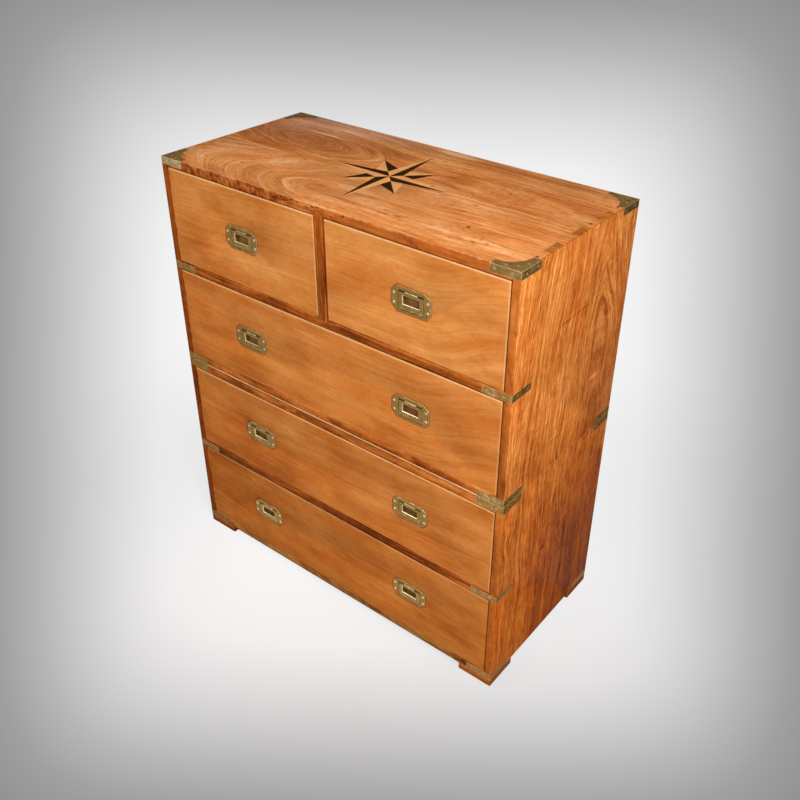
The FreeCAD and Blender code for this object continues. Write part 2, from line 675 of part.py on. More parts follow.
def handle_bail(name, place):
    """A flat bail on a round top edge, with a bevelled grip hole and a trunnion at each end."""
    def is_front_lower_edge(edge):
        return lies_in_front_plane(edge) and edge.BoundBox.ZMax < number("Places.bail_bottom") + NEAR

    def is_front_grip_edge(edge):
        return lies_in_front_plane(edge) and not reaches(edge, number("Sizes.grip_width / 2"))

    body = new_body(name, **place)
    half_width = "Sizes.bail_width / 2"
    plate = rectangle(f"-{half_width}", half_width, "Places.bail_bottom", "Places.pivot_height")
    pad_back(body, "plate", plate, "Sizes.bail_thickness")
    dress(body, "Chamfer", "bevel", is_front_lower_edge, Size="Sizes.bail_bevel")
    grip = rectangle("-Sizes.grip_width / 2", "Sizes.grip_width / 2",
                     "-Sizes.grip_height / 2", "Sizes.grip_height / 2")
    pocket_back(body, "grip", (grip,), "Sizes.bail_thickness")
    dress(body, "Chamfer", "grip_bevel", is_front_grip_edge, Size="Sizes.grip_bevel")
    for part, radius, length in (
            ("edge", "Places.pivot_depth", "Sizes.bail_width"),
            ("trunnions", "Sizes.trunnion_radius",
             "2 * (Places.half_opening_width + Sizes.trunnion_length)")):
        round_bar = body_sketch(body, part, "YZ_Plane",
                                circles=(("Places.pivot_depth", "Places.pivot_height", radius),))
        feature(body, "Pad", part, round_bar, length, side="Symmetric")
    return body


def plate_screws(name, place):
    made = []
    for x_sign in (-1, 1):
        for z_sign in (-1, 1):
            made.append(screw(f"{name}_{len(made)}", HEAD_FORWARD,
                              f"{place['x']} + {x_sign} * Sizes.plate_screw_x", place["y"],
                              f"{place['z']} + {z_sign} * Sizes.plate_screw_z"))
    return made


# ---- Drawers ----

def drawer_tails(name, face, left, floor, height):
    """The dovetails of one drawer side, in the end of the front."""
    count = max(1, int(number(f"({height}) / Sizes.tail_pitch")))
    root = f"{face} + Sizes.tail_length"
    outlines = []
    for step in range(count):
        middle = f"({height}) / 2 + {step - (count - 1) / 2} * Sizes.tail_pitch"
        half, flare = "Sizes.tail_width / 2", "Sizes.tail_flare"
        outlines.append(((face, f"{middle} - {half} - {flare}"), (root, f"{middle} - {half}"),
                         (root, f"{middle} + {half}"), (face, f"{middle} + {half} + {flare}")))
    across = Rotation(Vector(1, 1, 1), 120)
    return prism(name, outlines, "Sizes.drawer_side_thickness", across, x=left, z=floor)


def drawer(name, left, right, row, handles):
    floor = f"Places.{row}_floor"
    end_left = f"{left} + Sizes.drawer_gap"
    end_right = f"{right} - Sizes.drawer_gap"
    width = f"{right} - ({left}) - 2 * Sizes.drawer_gap"
    side_height = f"Sizes.{row}_height - Sizes.side_drop"
    front_back = "Places.drawer_front_back"

    front = new_body(f"{name}_front_board", x=end_left, y="Places.drawer_face",
                     z=f"{floor} + Sizes.drawer_gap")
    pad_back(front, "board", rectangle("0", width, "0", f"Sizes.{row}_height - 2 * Sizes.drawer_gap"),
             "Sizes.drawer_front_thickness")
    dress(front, "Fillet", "arris", lies_in_front_plane, Radius="Sizes.drawer_arris")

    # Sides with their tails, back, and the bottom in its grooves
    lap = "Sizes.drawer_front_thickness - Sizes.tail_length"
    sides, tails = [], []
    for hand, start in (("left", end_left), ("right", f"{end_right} - Sizes.drawer_side_thickness")):
        plank = block(f"{name}_{hand}_plank", (start, front_back, floor),
                      "Sizes.drawer_side_thickness", f"Places.drawer_end - {front_back}", side_height)
        tail_set = drawer_tails(f"{name}_{hand}_tails", f"Places.drawer_face + {lap}", start, floor,
                                side_height)
        tails.append(tail_set)
        sides.append(joined(f"{name}_{hand}_board", (plank, tail_set)))
    inner_left = f"{end_left} + Sizes.drawer_side_thickness"
    inner_width = f"{width} - 2 * Sizes.drawer_side_thickness"
    bottom_level = f"{floor} + Sizes.bottom_height"
    bottom = block(f"{name}_bottom_board",
                   (f"{inner_left} - Sizes.groove_depth", f"{front_back} - Sizes.groove_depth",
                    bottom_level),
                   f"{inner_width} + 2 * Sizes.groove_depth",
                   f"Places.drawer_end - {front_back} + Sizes.groove_depth",
                   "Sizes.drawer_bottom_thickness")
    back = block(f"{name}_back_board",
                 (inner_left, "Places.drawer_end - Sizes.drawer_back_thickness",
                  f"{bottom_level} + Sizes.drawer_bottom_thickness"),
                 inner_width, "Sizes.drawer_back_thickness",
                 f"{side_height} - Sizes.back_drop - Sizes.bottom_height - Sizes.drawer_bottom_thickness")

    seats, plates, screws = [], [], []
    for bail, hand in handles:
        place = handle_place(hand, row)
        seats.append(handle_casting(f"{bail}_seat", place))
        plates.append(handle_plate(f"{bail}_plate", place))
        screws.extend(plate_screws(f"{bail}_screw", place))
        pieces[bail] = handle_bail(f"{bail}_body", place)
    screw_set = group(f"{name}_handle_screws", screws)

    pieces[f"{name}_front"] = cut(f"{name}_front", front, *tails, bottom, *seats, screw_set)
    pieces[f"{name}_box"] = group(f"{name}_box", (
        cut(f"{name}_left_side", sides[0], bottom), cut(f"{name}_right_side", sides[1], bottom), back))
    pieces[f"{name}_bottom"] = bottom
    pieces[f"{name}_handle_plates"] = cut(f"{name}_handle_plates", group(f"{name}_plate_set", plates),
                                          screw_set)
    pieces[f"{name}_handle_screws"] = screw_set


# ---- Checks and files ----

def check_document():
    for thing in doc.Objects:
        if {"Invalid", "Error"} & set(thing.State):
            raise RuntimeError(f"{thing.Name} is {thing.State}: {thing.getStatusString()}")
    for node, thing in pieces.items():
        if thing.Shape.isNull() or not thing.Shape.isValid() or not thing.Shape.Solids:
            raise RuntimeError(f"{node} has no valid solid")


def main():
    lower_case()
    upper_case()
    for row in DRAWERS:
        drawer(*row)
    doc.recompute()
    check_document()
    os.makedirs("parts", exist_ok=True)
    for node, thing in pieces.items():
        thing.Label = node
        thing.Shape.exportStep(f"parts/{node}.step")
        print(f"{node}: {len(thing.Shape.Solids)} solids, {thing.Shape.Volume / 1000:.1f} cm3")
    print(f"{len(pieces)} nodes, {number('Places.chest_height'):g} mm high")


main()
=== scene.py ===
import json
import math
import random
from dataclasses import dataclass
from functools import partial, partialmethod

import bmesh
import bpy
from bpy.props import FloatProperty, FloatVectorProperty, IntProperty, PointerProperty
from mathutils import Matrix, Vector

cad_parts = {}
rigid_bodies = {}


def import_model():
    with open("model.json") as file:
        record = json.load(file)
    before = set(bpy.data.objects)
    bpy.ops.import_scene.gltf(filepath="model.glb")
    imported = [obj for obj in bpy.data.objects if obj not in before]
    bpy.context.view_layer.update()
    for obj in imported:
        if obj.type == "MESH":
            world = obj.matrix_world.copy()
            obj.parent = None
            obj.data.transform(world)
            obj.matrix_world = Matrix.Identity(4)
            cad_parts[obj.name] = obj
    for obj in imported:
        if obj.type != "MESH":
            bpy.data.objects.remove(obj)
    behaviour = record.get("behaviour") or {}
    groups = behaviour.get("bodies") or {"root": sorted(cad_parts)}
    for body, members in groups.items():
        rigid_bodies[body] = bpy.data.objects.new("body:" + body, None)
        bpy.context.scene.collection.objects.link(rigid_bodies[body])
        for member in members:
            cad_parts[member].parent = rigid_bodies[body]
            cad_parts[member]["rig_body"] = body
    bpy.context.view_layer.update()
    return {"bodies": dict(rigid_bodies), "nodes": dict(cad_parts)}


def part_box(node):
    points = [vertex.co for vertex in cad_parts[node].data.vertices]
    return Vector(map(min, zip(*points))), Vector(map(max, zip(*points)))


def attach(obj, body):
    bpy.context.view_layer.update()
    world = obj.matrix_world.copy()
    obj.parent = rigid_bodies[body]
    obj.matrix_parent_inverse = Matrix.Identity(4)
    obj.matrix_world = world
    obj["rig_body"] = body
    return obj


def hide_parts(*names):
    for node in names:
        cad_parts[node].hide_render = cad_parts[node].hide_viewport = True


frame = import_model()

bl_info = {
    "name": "Campaign Chest",
    "version": (1, 0, 0),
    "blender": (4, 5, 0),
    "location": "3D View > Sidebar > Chest",
    "description": "Dresses the chest: camphor wood, inlaid star, aged brass and a plain studio",
    "category": "Object",
}

MM = 0.001
PER_METRE = 1000
BODY_OF = {node: piece["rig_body"] for node, piece in frame["nodes"].items()}
DRAWERS = sorted(body for body in frame["bodies"] if body.endswith("_drawer"))
BAILS = sorted(body for body in frame["bodies"] if body.endswith("_bail"))


# ---- What a user may change ----

def colour_prop(name, value, description):
    return FloatVectorProperty(name=name, description=description, default=value, min=0, max=1,
                               size=3, subtype="COLOR")


def number_prop(name, value, description, **kind):
    return FloatProperty(name=name, description=description, default=value, min=0, **kind)


length_prop = partial(number_prop, unit="LENGTH")
power_prop = partial(number_prop, unit="POWER")
share_prop = partial(number_prop, max=1)


class ChestWoodSettings(bpy.types.PropertyGroup):
    black: colour_prop("Dark veins", (0.115, 0.026, 0.005), "Darkest veins of the camphor wood")
    brown: colour_prop("Brown", (0.300, 0.078, 0.013), "Brown streaks of the camphor wood")
    warm: colour_prop("Warm", (0.520, 0.165, 0.033), "The camphor wood's own colour")
    honey: colour_prop("Honey", (0.700, 0.280, 0.075), "Light streaks of the camphor wood")
    # Pale is also the colour of the rubbed edges, with their painted highlights
    pale: colour_prop("Pale", (0.860, 0.480, 0.210), "Palest streaks and rubbed edges")
    lining: colour_prop("Lining", (0.520, 0.290, 0.120), "Bare wood inside the chest")
    # Seam: dirt in the seams, and painted shade in the gaps round the drawers and under the base board
    seam: colour_prop("Seam", (0.045, 0.011, 0.003), "Old polish and dirt in the seams")
    ebony: colour_prop("Ebony", (0.037, 0.0135, 0.002), "Dark half of each point of the star")
    boxwood: colour_prop("Boxwood", (0.770, 0.338, 0.117), "Light half of each point of the star")
    case_arris: length_prop("Case arris", 0.5 * MM, "Rounding of the case boards' edges")
    lining_arris: length_prop("Lining arris", 0.8 * MM, "Rounding of the edges inside the chest")
    roughness: share_prop("Roughness", 0.46, "Waxed surface of the wood")


class ChestBrassSettings(bpy.types.PropertyGroup):
    # Bare: rubbed brass, and the painted highlights on its edges
    bare: colour_prop("Bare brass", (0.920, 0.700, 0.370), "Edges rubbed bright")
    aged: colour_prop("Aged brass", (0.400, 0.225, 0.060), "Faces of the old brass")
    stain: colour_prop("Stain", (0.070, 0.042, 0.010), "Dark stains of the brass")
    # Grime: old polish, and in the finger pans a painted reflection of the brown wood
    grime_and_reflection: colour_prop("Grime", (0.340, 0.150, 0.050), "Old polish in the recesses of the handles")
    # Screw heads: scoured brass, paled to a painted glint
    screw: colour_prop("Screw heads", (1.0, 0.860, 0.590), "Scoured heads of the handles' screws")
    mount_arris: length_prop("Mount arris", 0.35 * MM, "Rounding of the caps' and straps' edges")
    handle_arris: length_prop("Handle arris", 0.3 * MM, "Rounding of the handles' edges")
    screw_slot: length_prop("Screw slot", 0.8 * MM, "Width of the slot in a screw's head")
    seed: IntProperty(name="Seed", description="Which way the screws' slots are turned", default=5)


class ChestStageSettings(bpy.types.PropertyGroup):
    key_power: power_prop("Key lamp", 76, "Lamp at the front right")
    fill_power: power_prop("Fill lamp", 33, "Lamp at the front left")
    top_power: power_prop("Top lamp", 10, "Lamp overhead")
    side_power: power_prop("Side lamp", 13, "Lamp at the right")
    back_power: power_prop("Back lamp", 30, "Lamp behind")
    sky: share_prop("Sky", 0.12, "Light from all round")
    pool: share_prop("Pool", 0.99, "Lightness of the floor round the chest")
    rim: share_prop("Rim", 0.262, "Lightness of the far floor and the backdrop")


def settings(name):
    return getattr(bpy.context.scene, name)


# ---- Making materials ----

class Value:
    """An output of a node, which ordinary arithmetic joins to further nodes."""

    def __init__(self, shader, socket):
        self.shader, self.socket = shader, socket

    def joined(self, operation, *others):
        return self.shader.math(operation, self, *others)

    def __rsub__(self, other):
        return self.shader.math("SUBTRACT", other, self)

    __add__ = __radd__ = partialmethod(joined, "ADD")
    __sub__ = partialmethod(joined, "SUBTRACT")
    __mul__ = partialmethod(joined, "MULTIPLY")
    __truediv__ = partialmethod(joined, "DIVIDE")
    __pow__ = partialmethod(joined, "POWER")
    __abs__ = partialmethod(joined, "ABSOLUTE")


class Shader:
    """A material or world and its nodes, with a call for each kind of node that the finishes use."""

    def __init__(self, name, kind="materials"):
        self.owner = getattr(bpy.data, kind).new(name)
        self.owner.use_nodes = True
        self.nodes = self.owner.node_tree.nodes
        self.links = self.owner.node_tree.links
        self.nodes.clear()

    def add(self, kind, inputs=None, **options):
        node = self.nodes.new(f"ShaderNode{kind}")
        for name, value in options.items():
            setattr(node, name, value)
        for name, value in (inputs or {}).items():
            self.feed(node.inputs[name], value)
        return node

    def feed(self, socket, value):
        if isinstance(value, Value):
            self.links.new(value.socket, socket)
        elif socket.type == "RGBA":
            socket.default_value = (*value, 1)
        else:
            socket.default_value = value

    def value(self, node, output=0):
        return Value(self, node.outputs[output])

    def math(self, operation, *values):
        return self.value(self.add("Math", dict(enumerate(values)), operation=operation))

    least = partialmethod(math, "MINIMUM")
    most = partialmethod(math, "MAXIMUM")

    def split(self, vector):
        node = self.add("SeparateXYZ", {0: vector})
        return [self.value(node, axis) for axis in range(3)]

    def join(self, x, y, z):
        return self.value(self.add("CombineXYZ", {0: x, 1: y, 2: z}))

    def attribute(self, name, output="Vector"):
        return self.value(self.add("Attribute", attribute_name=name), output)

    def noise(self, vector, detail=2.0, roughness=0.5):
        """Noise round zero, about a half either way, with one feature to each unit of the vector."""
        inputs = {"Vector": vector, "Scale": 1.0, "Detail": detail, "Roughness": roughness}
        return self.value(self.add("TexNoise", inputs)) - 0.5

    def step(self, value, low, high):
        """From 0 at low to 1 at high, with soft ends."""
        inputs = {"Value": value, "From Min": low, "From Max": high}
        return self.value(self.add("MapRange", inputs, interpolation_type="SMOOTHSTEP"))

    def near(self, value, reach):
        """1 where a value is 0, and 0 from a reach on."""
        return 1 - self.step(value, reach * 0.35, reach)

    def spot(self, x, y, middle, size):
        """1 in the middle of an oval patch and 0 outside it."""
        across, along = (x - middle[0]) / size[0], (y - middle[1]) / size[1]
        return 1 - self.step((across * across + along * along) ** 0.5, 0.35, 1)

    def span(self, value, low, high, soft):
        """1 between two values, with soft ends."""
        return self.step(value, low, low + soft) * (1 - self.step(value, high - soft, high))

    def mix(self, share, first, second, blend="MIX"):
        """A colour between two colours, or the first one multiplied by the second."""
        node = self.add("Mix", data_type="RGBA", blend_type=blend)
        for place, value in ((0, share), (6, first), (7, second)):
            self.feed(node.inputs[place], value)
        return self.value(node, 2)

    def ramp(self, value, *stops):
        """Colours along a value, from pairs of a place and a colour."""
        node = self.add("ValToRGB", {0: value})
        band = node.color_ramp
        while len(band.elements) < len(stops):
            band.elements.new(1)
        for element, (place, colour) in zip(band.elements, stops):
            element.position = place
            element.color = (*colour, 1)
        return self.value(node)

    def bump(self, height, depth):
        """Normals of a relief whose unit of height stands for a depth in metres."""
        return self.value(self.add("Bump", {"Height": height, "Distance": depth, "Strength": 1.0}))

    def blended(self, share, first, second):
        """A shader between two shaders."""
        node = self.add("MixShader", {0: share})
        for place, source in ((1, first), (2, second)):
            self.links.new(source.outputs[0], node.inputs[place])
        return node

    def rays(self, *names):
        """1 for rays of any of these kinds."""
        node = self.add("LightPath")
        share = 0
        for name in names:
            share = self.most(share, self.value(node, f"Is {name} Ray"))
        return share

    def result(self, node, output="OutputMaterial"):
        """The material or world, showing this shader."""
        self.links.new(node.outputs[0], self.add(output).inputs["Surface"])
        return self.owner

    def surface(self, **inputs):
        """The finished material, from a value for each named input."""
        named = {name.replace("_", " "): value for name, value in inputs.items()}
        return self.result(self.add("BsdfPrincipled", named))


def place_in_mm(shader):
    """Where a point of the piece lies, in millimetres along X, Y and Z."""
    here = shader.value(shader.add("TexCoord"), "Object")
    return [part * PER_METRE for part in shader.split(here)]


def facing(shader):
    """How squarely a surface faces along X, Y and Z, either way."""
    normal = shader.value(shader.add("TexCoord"), "Normal")
    return [abs(part) for part in shader.split(normal)]


def from_box(shader):
    """Millimetres along X, Y and Z from the low and from the high sides of the solid's own box."""
    return [shader.split(shader.attribute(name)) for name in ("from_low", "from_high")]


def box_distances(shader):
    """Millimetres to the nearer side of that box, along X, Y and Z."""
    return [shader.least(*ends) for ends in zip(*from_box(shader))]


def edge_distance(shader):
    """Millimetres to the nearest edge of that box, over its surface."""
    x, y, z = box_distances(shader)
    return shader.most(shader.least(x, y), shader.least(shader.most(x, y), z))


# The sides of the box: the attribute that measures from a side, and its axis
LEFT, RIGHT = ("from_low", "X"), ("from_high", "X")
BELOW, ABOVE = ("from_low", "Z"), ("from_high", "Z")
BEHIND = ("from_high", "Y")


def side_distance(shader, side):
    """Millimetres to one side of that box."""
    name, axis = side
    return shader.split(shader.attribute(name))["XYZ".index(axis)]


FRONT_FACING = (0.7, 0.9)  # how squarely the front has to face forwards
END_FACING = (0.75, 0.95)  # how squarely an end has to face along the grain
EDGE_WIDTH = 2.4           # millimetres of a rubbed edge and painted highlight, or a dirty seam and painted shade
LIGHT_INSET = 1.8          # millimetres from a front's side to its pale line of wear and painted highlight
LIGHT_WIDTH = 3.0          # and that line's reach to either side
LOW_SHADE_TOP = 760         # millimetres up to which the painted low shade is seen
GRAIN_DEPTH = 0.12 * MM
SCRATCH_DEPTH = 0.05 * MM
WAX_GLOSS = 0.01
WARMTH = (1.03, 0.91, 0.80)  # multiplied into a board's warmer patches


@dataclass
class Board:
    """How one board of camphor wood is cut and finished. Lengths are in millimetres."""
    order: str                # axes along the grain, across the board and through it
    seed: float               # moves all its patterns
    tone: float               # 0 dark veins, 1 pale streaks
    grain: object = None      # lines of the growth rings on its face, or straight across it
    tint: tuple = (1, 1, 1)   # multiplied into all its colours
    contrast: float = 1.0     # how far its streaks differ from its tone
    wave: float = 40.0        # long bends of the grain
    ripple: float = 0.0       # short waves of the grain
    bold: float = 0.8         # strength of the broad growth rings
    fine: float = 0.7         # strength of the long fine streaks
    fleck: float = 0.0        # strength of the short streaks
    curl: float = 0.0         # strength of the short wavy streaks
    dashes: float = 0.0       # strength of the open dark pores
    cloud: float = 0.6        # strength of the soft patches
    low_shade_tint: tuple = ()      # painted shade, multiplied in towards the floor
    marks: object = None      # knots, stains and single streaks
    front_tone: float = 0.0   # tone of the edge that shows at the front
    front_calm: float = 0.55  # how much plainer that edge is, or below 0 livelier
    front_tint: tuple = ()    # multiplied into the colours of that edge
    front_seams: tuple = ()   # sides of the front with dirt and painted shade in the seam
    front_lights: tuple = ()  # sides of the front with a worn pale line and painted highlight, and its strength
    rubbed: float = 0.5       # how pale the long edges are rubbed, with a painted highlight


def wood(name, board):
    """Waxed camphor wood."""
    colours = settings("chest_wood")
    shader = Shader(name)
    place = dict(zip("XYZ", place_in_mm(shader)))
    along, across, through = (place[axis] for axis in board.order)
    towards = dict(zip("XYZ", facing(shader)))

    def figure(length, width, thickness, detail=2.0, lines=across):
        """Noise whose features have a length along the grain and a width across it."""
        return shader.noise(shader.join(along / length + board.seed, lines / width + board.seed * 1.7,
                                        through / thickness + board.seed * 0.3), detail, 0.55)

    bend = figure(430, 150, 150, 1) * board.wave + figure(110, 50, 60, 1) * (board.wave * 0.2)
    if board.ripple:
        bend = bend + figure(24, 45, 60, 1) * board.ripple
    bent = across + bend
    ring = board.grain(shader, along, bent) if board.grain else bent

    bands = figure(1400, 17, 50, 3, ring)
    streaks = figure(260, 4.6, 16, 3, ring)
    fibres = figure(60, 0.9, 3, 2, ring)
    pores = shader.step(figure(8, 0.7, 1.4, 1, bent), 0.12, 0.22)
    clouds = figure(150, 80, 80, 2)
    mottle = figure(16, 9, 12, 2)

    tone = bands * board.bold + streaks * board.fine + fibres * 0.45
    tone = tone + clouds * board.cloud + mottle * 0.3
    if board.fleck:
        tone = tone + figure(75, 4.6, 18, 2, ring) * board.fleck
    if board.curl:
        tone = tone + figure(30, 4.5, 20, 3, ring) * board.curl + figure(6, 26, 20, 2) * board.curl * 0.3
    if board.dashes:
        dashes = shader.step(figure(14, 2.4, 6, 1, bent), 0.13, 0.2) * shader.step(clouds, -0.1, 0.15)
        tone = tone - dashes * board.dashes
    at_front = shader.step(towards["Y"], *FRONT_FACING)
    if board.front_tone:
        tone = tone * (1 - at_front * board.front_calm) + at_front * board.front_tone
    tone = tone * board.contrast + board.tone
    if board.marks:
        tone = board.marks(shader, place, tone)
    colour = shader.ramp(tone, (0, colours.black), (0.25, colours.brown), (0.5, colours.warm),
                         (0.75, colours.honey), (1, colours.pale))
    colour = shader.mix(1, colour, board.tint, "MULTIPLY")
    warmth = shader.step(figure(210, 60, 60, 2), -0.15, 0.2)
    colour = shader.mix(warmth, colour, WARMTH, "MULTIPLY")
    if board.front_tint:
        colour = shader.mix(at_front, colour, board.front_tint, "MULTIPLY")
    # Painted shade: darker and browner towards the floor, against the floor's pale bounce light
    if board.low_shade_tint:
        low = (1 - shader.step(place["Z"], 0, LOW_SHADE_TOP)) * (1 - at_front * 0.8)
        colour = shader.mix(low, colour, board.low_shade_tint, "MULTIPLY")
    colour = shader.mix(pores * 0.4, colour, colours.brown)

    end = shader.step(towards[board.order[0]], *END_FACING)
    speckle = shader.noise(shader.join(across / 1.1, through / 1.1, along / 9), 2)
    speckle = shader.step(speckle, -0.1, 0.2) * 0.35 + 0.2
    colour = shader.mix(end * speckle, colour, colours.black)

    patchy = shader.step(clouds + mottle, -0.2, 0.25)
    inside = dict(zip("XYZ", box_distances(shader)))
    # Long edges rubbed pale, with a painted highlight
    edges = shader.near(shader.most(*(inside[axis] for axis in board.order[1:])), EDGE_WIDTH) * (1 - end)
    colour = shader.mix(edges * patchy * board.rubbed, colour, colours.pale)
    # A pale line along chosen sides of the front: rubbed wood with a painted highlight
    for side, strength in board.front_lights:
        line = shader.near(abs(side_distance(shader, side) - LIGHT_INSET), LIGHT_WIDTH) * at_front
        colour = shader.mix(line * strength * (patchy * 0.25 + 0.75), colour, colours.pale)
    # Painted shade in the gaps along these sides of the front, with the seam's dirt
    for side in board.front_seams:
        seam = at_front * shader.near(side_distance(shader, side), EDGE_WIDTH)
        colour = shader.mix(seam, colour, colours.seam)

    relief = streaks * 0.25 + fibres * 0.5 - pores * 0.5 + mottle * 0.6
    rough = clouds * 0.2 + fibres * 0.15 + pores * 0.2 + colours.roughness
    return shader.surface(Base_Color=colour, Roughness=rough, Specular_IOR_Level=WAX_GLOSS,
                          Normal=shader.bump(relief, GRAIN_DEPTH))


def shade(colour, strength):
    """A colour made darker or paler."""
    return tuple(min(1, channel * strength) for channel in colour)


def lining_wood(name, order, seed, tone=0.0, seams=(), box=None):
    """Planed bare wood, straight in the grain. Seams lie at millimetres across it, between planks.

    A drawer's box has the thickness of its sides and of its back, whose grain runs across theirs.
    """
    colours = settings("chest_wood")
    shader = Shader(name)
    place = dict(zip("XYZ", place_in_mm(shader)))
    along, across, through = (place[axis] for axis in order)
    towards = dict(zip("XYZ", facing(shader)))
    lengthwise = towards[order[0]]
    if box:
        side, back = box
        inwards = shader.least(side_distance(shader, LEFT), side_distance(shader, RIGHT))
        is_back = (shader.step(inwards, side - 1, side - 0.5)
                   * (1 - shader.step(side_distance(shader, BEHIND), back + 0.5, back + 1)))
        lengthwise = lengthwise + (towards[order[2]] - lengthwise) * is_back
        along, through = along + (through - along) * is_back, through + (along - through) * is_back
    planks = sum((shader.step(across, level - 0.3, level + 0.3) for level in seams), start=seed)

    def figure(length, width, detail=2.0):
        return shader.noise(shader.join(along / length + planks, across / width - seed,
                                        through / width + seed * 0.6), detail)

    rings = figure(900, 14, 3)
    fibres = figure(60, 1.1)
    clouds = shader.noise(shader.join(along / 140, across / 90, through / 90 + seed), 2)
    tone = rings * 1.1 + fibres * 0.5 + clouds * 0.6 + (0.5 + tone)
    if seams:
        tone = tone + shader.noise(shader.join(planks * 7.3, 0, 0), 0) * 1.4
    dark = shade(colours.lining, 0.6)
    colour = shader.mix(shader.step(tone, -0.1, 1.1), dark, shade(colours.lining, 1.3))
    colour = shader.mix(shader.step(lengthwise, *END_FACING) * 0.6, colour, dark)
    for level in seams:
        colour = shader.mix(shader.near(abs(across - level), 2.2) * 0.8, colour, colours.seam)
    return shader.surface(Base_Color=colour, Roughness=fibres * 0.15 + 0.68, Specular_IOR_Level=0.1,
                          Normal=shader.bump(rings * 0.4 + fibres, GRAIN_DEPTH))


def inlay_wood(name, colour, spread):
    """A fine even wood, cut for the star."""
    shader = Shader(name)
    x, y, z = place_in_mm(shader)
    fibres = shader.noise(shader.join(x / 1.2, y / 14, z / 4), 3, 0.6)
    clouds = shader.noise(shader.join(x / 30, y / 30, z / 30), 2)
    tone = shader.step(fibres * 0.7 + clouds * 0.8 + 0.5, 0, 1)
    colour = shader.mix(tone, shade(colour, 1 - spread), shade(colour, 1 + spread))
    return shader.surface(Base_Color=colour, Roughness=clouds * 0.15 + 0.45,
                          Specular_IOR_Level=WAX_GLOSS, Normal=shader.bump(fibres, SCRATCH_DEPTH))


BRASS_GRAZE = (1.0, 0.92, 0.72)  # tint of brass seen at a flat angle
STRAP_GRAZE = (1.0, 0.86, 0.45)
STRAP_TINT = (1.08, 0.97, 0.88)  # multiplied into the colours of the straps


def brass(name, age, seed, rubbed=0.45, marks=None, recess=None, bare=None, tint=None,
          graze=BRASS_GRAZE):
    """Old brass: edges rubbed bright with a painted highlight, dull faces, stains and fine scratches."""
    colours = settings("chest_brass")
    shader = Shader(name)
    x, y, z = place_in_mm(shader)
    blotches = shader.noise(shader.join(x / 11 + seed, y / 11, z / 11), 4, 0.6)
    specks = shader.noise(shader.join(x / 4, y / 4 + seed, z / 4), 3, 0.65)
    scratches = shader.noise(shader.join(x / 9, y / 9, z / 0.35 + seed), 2, 0.6)
    # Edges and slanting faces are rubbed bright, with a painted highlight
    edges = shader.near(edge_distance(shader), 1.9)
    worn = shader.most(edges * 0.6, shader.attribute("worn", "Fac"))
    bright = blotches * 0.9 + specks * 0.8 + scratches * 0.5 + worn * rubbed + (0.5 - age)
    if marks:
        bright = marks(shader, bright)
    colour = shader.ramp(bright, (0, colours.stain), (0.4, colours.aged), (0.6, colours.aged),
                         (1, bare or colours.bare))
    if recess:
        colour = shader.mix(recess(shader), colour, colours.grime_and_reflection)
    if tint:
        colour = shader.mix(1, colour, tint, "MULTIPLY")
    rough = blotches * 0.2 - shader.step(bright, 0.5, 1) * 0.14 + 0.46
    return shader.surface(Base_Color=colour, Metallic=0.6, Roughness=rough, Specular_IOR_Level=0.1,
                          Specular_Tint=graze,
                          Normal=shader.bump(scratches * 0.5 + specks * 0.6, SCRATCH_DEPTH))


# ---- Making pieces ----

MERGE = 1e-6                    # corners nearer than this are one, in metres
AT_END = 1e-5                   # a corner this near a screw's end is on it
FLAT_ANGLE = math.radians(0.5)  # faces that meet at less are one
SHARP_ANGLE = math.radians(35)  # edges that turn by more are eased
SQUARE = 0.995                  # faces less square to the axes are rounded or slanting


def solids(shape):
    """The separate solids of a shape, each as a list of its corners."""
    waiting = set(shape.verts)
    while waiting:
        solid = [waiting.pop()]
        for corner in solid:
            for edge in corner.link_edges:
                other = edge.other_vert(corner)
                if other in waiting:
                    waiting.remove(other)
                    solid.append(other)
        yield solid


def box_of(corners):
    """The low and the high end of the box round some corners."""
    return [Vector([pick(corner.co[axis] for corner in corners) for axis in range(3)])
            for pick in (min, max)]


def mesh_of(shape, name):
    """A mesh with a shape, which is then let go."""
    mesh = bpy.data.meshes.new(name)
    shape.to_mesh(mesh)
    shape.free()
    return mesh


def placed(name, data):
    """A new object, placed in the scene."""
    thing = bpy.data.objects.new(name, data)
    bpy.context.scene.collection.objects.link(thing)
    return thing


def finished(shape, name, body, slot, material, *nodes):
    """Make the piece itself, riding on its body and standing for the named nodes.

    It carries how far each corner lies inside its solid's own box, in millimetres, and which of its
    faces are rounded or slanting, for its finish to read.
    """
    from_low = shape.verts.layers.float_vector.new("from_low")
    from_high = shape.verts.layers.float_vector.new("from_high")
    for solid in solids(shape):
        low, high = box_of(solid)
        for corner in solid:
            corner[from_low] = (corner.co - low) / MM
            corner[from_high] = (high - corner.co) / MM
    worn = shape.faces.layers.float.new("worn")
    for face in shape.faces:
        face[worn] = float(max(abs(part) for part in face.normal) < SQUARE)
        face.smooth = True
    for edge in shape.edges:
        edge.smooth = edge.is_manifold and edge.calc_face_angle() < SHARP_ANGLE
    piece = placed(name, mesh_of(shape, name))
    piece.data.materials.append(material)
    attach(piece, body)
    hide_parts(*nodes)


def merged_copy(node):
    """A CAD piece's shape, its loose triangles joined up into flat faces."""
    shape = bmesh.new()
    shape.from_mesh(frame["nodes"][node].data)
    bmesh.ops.remove_doubles(shape, verts=shape.verts, dist=MERGE)
    bmesh.ops.dissolve_limit(shape, angle_limit=FLAT_ANGLE, verts=shape.verts, edges=shape.edges)
    return shape


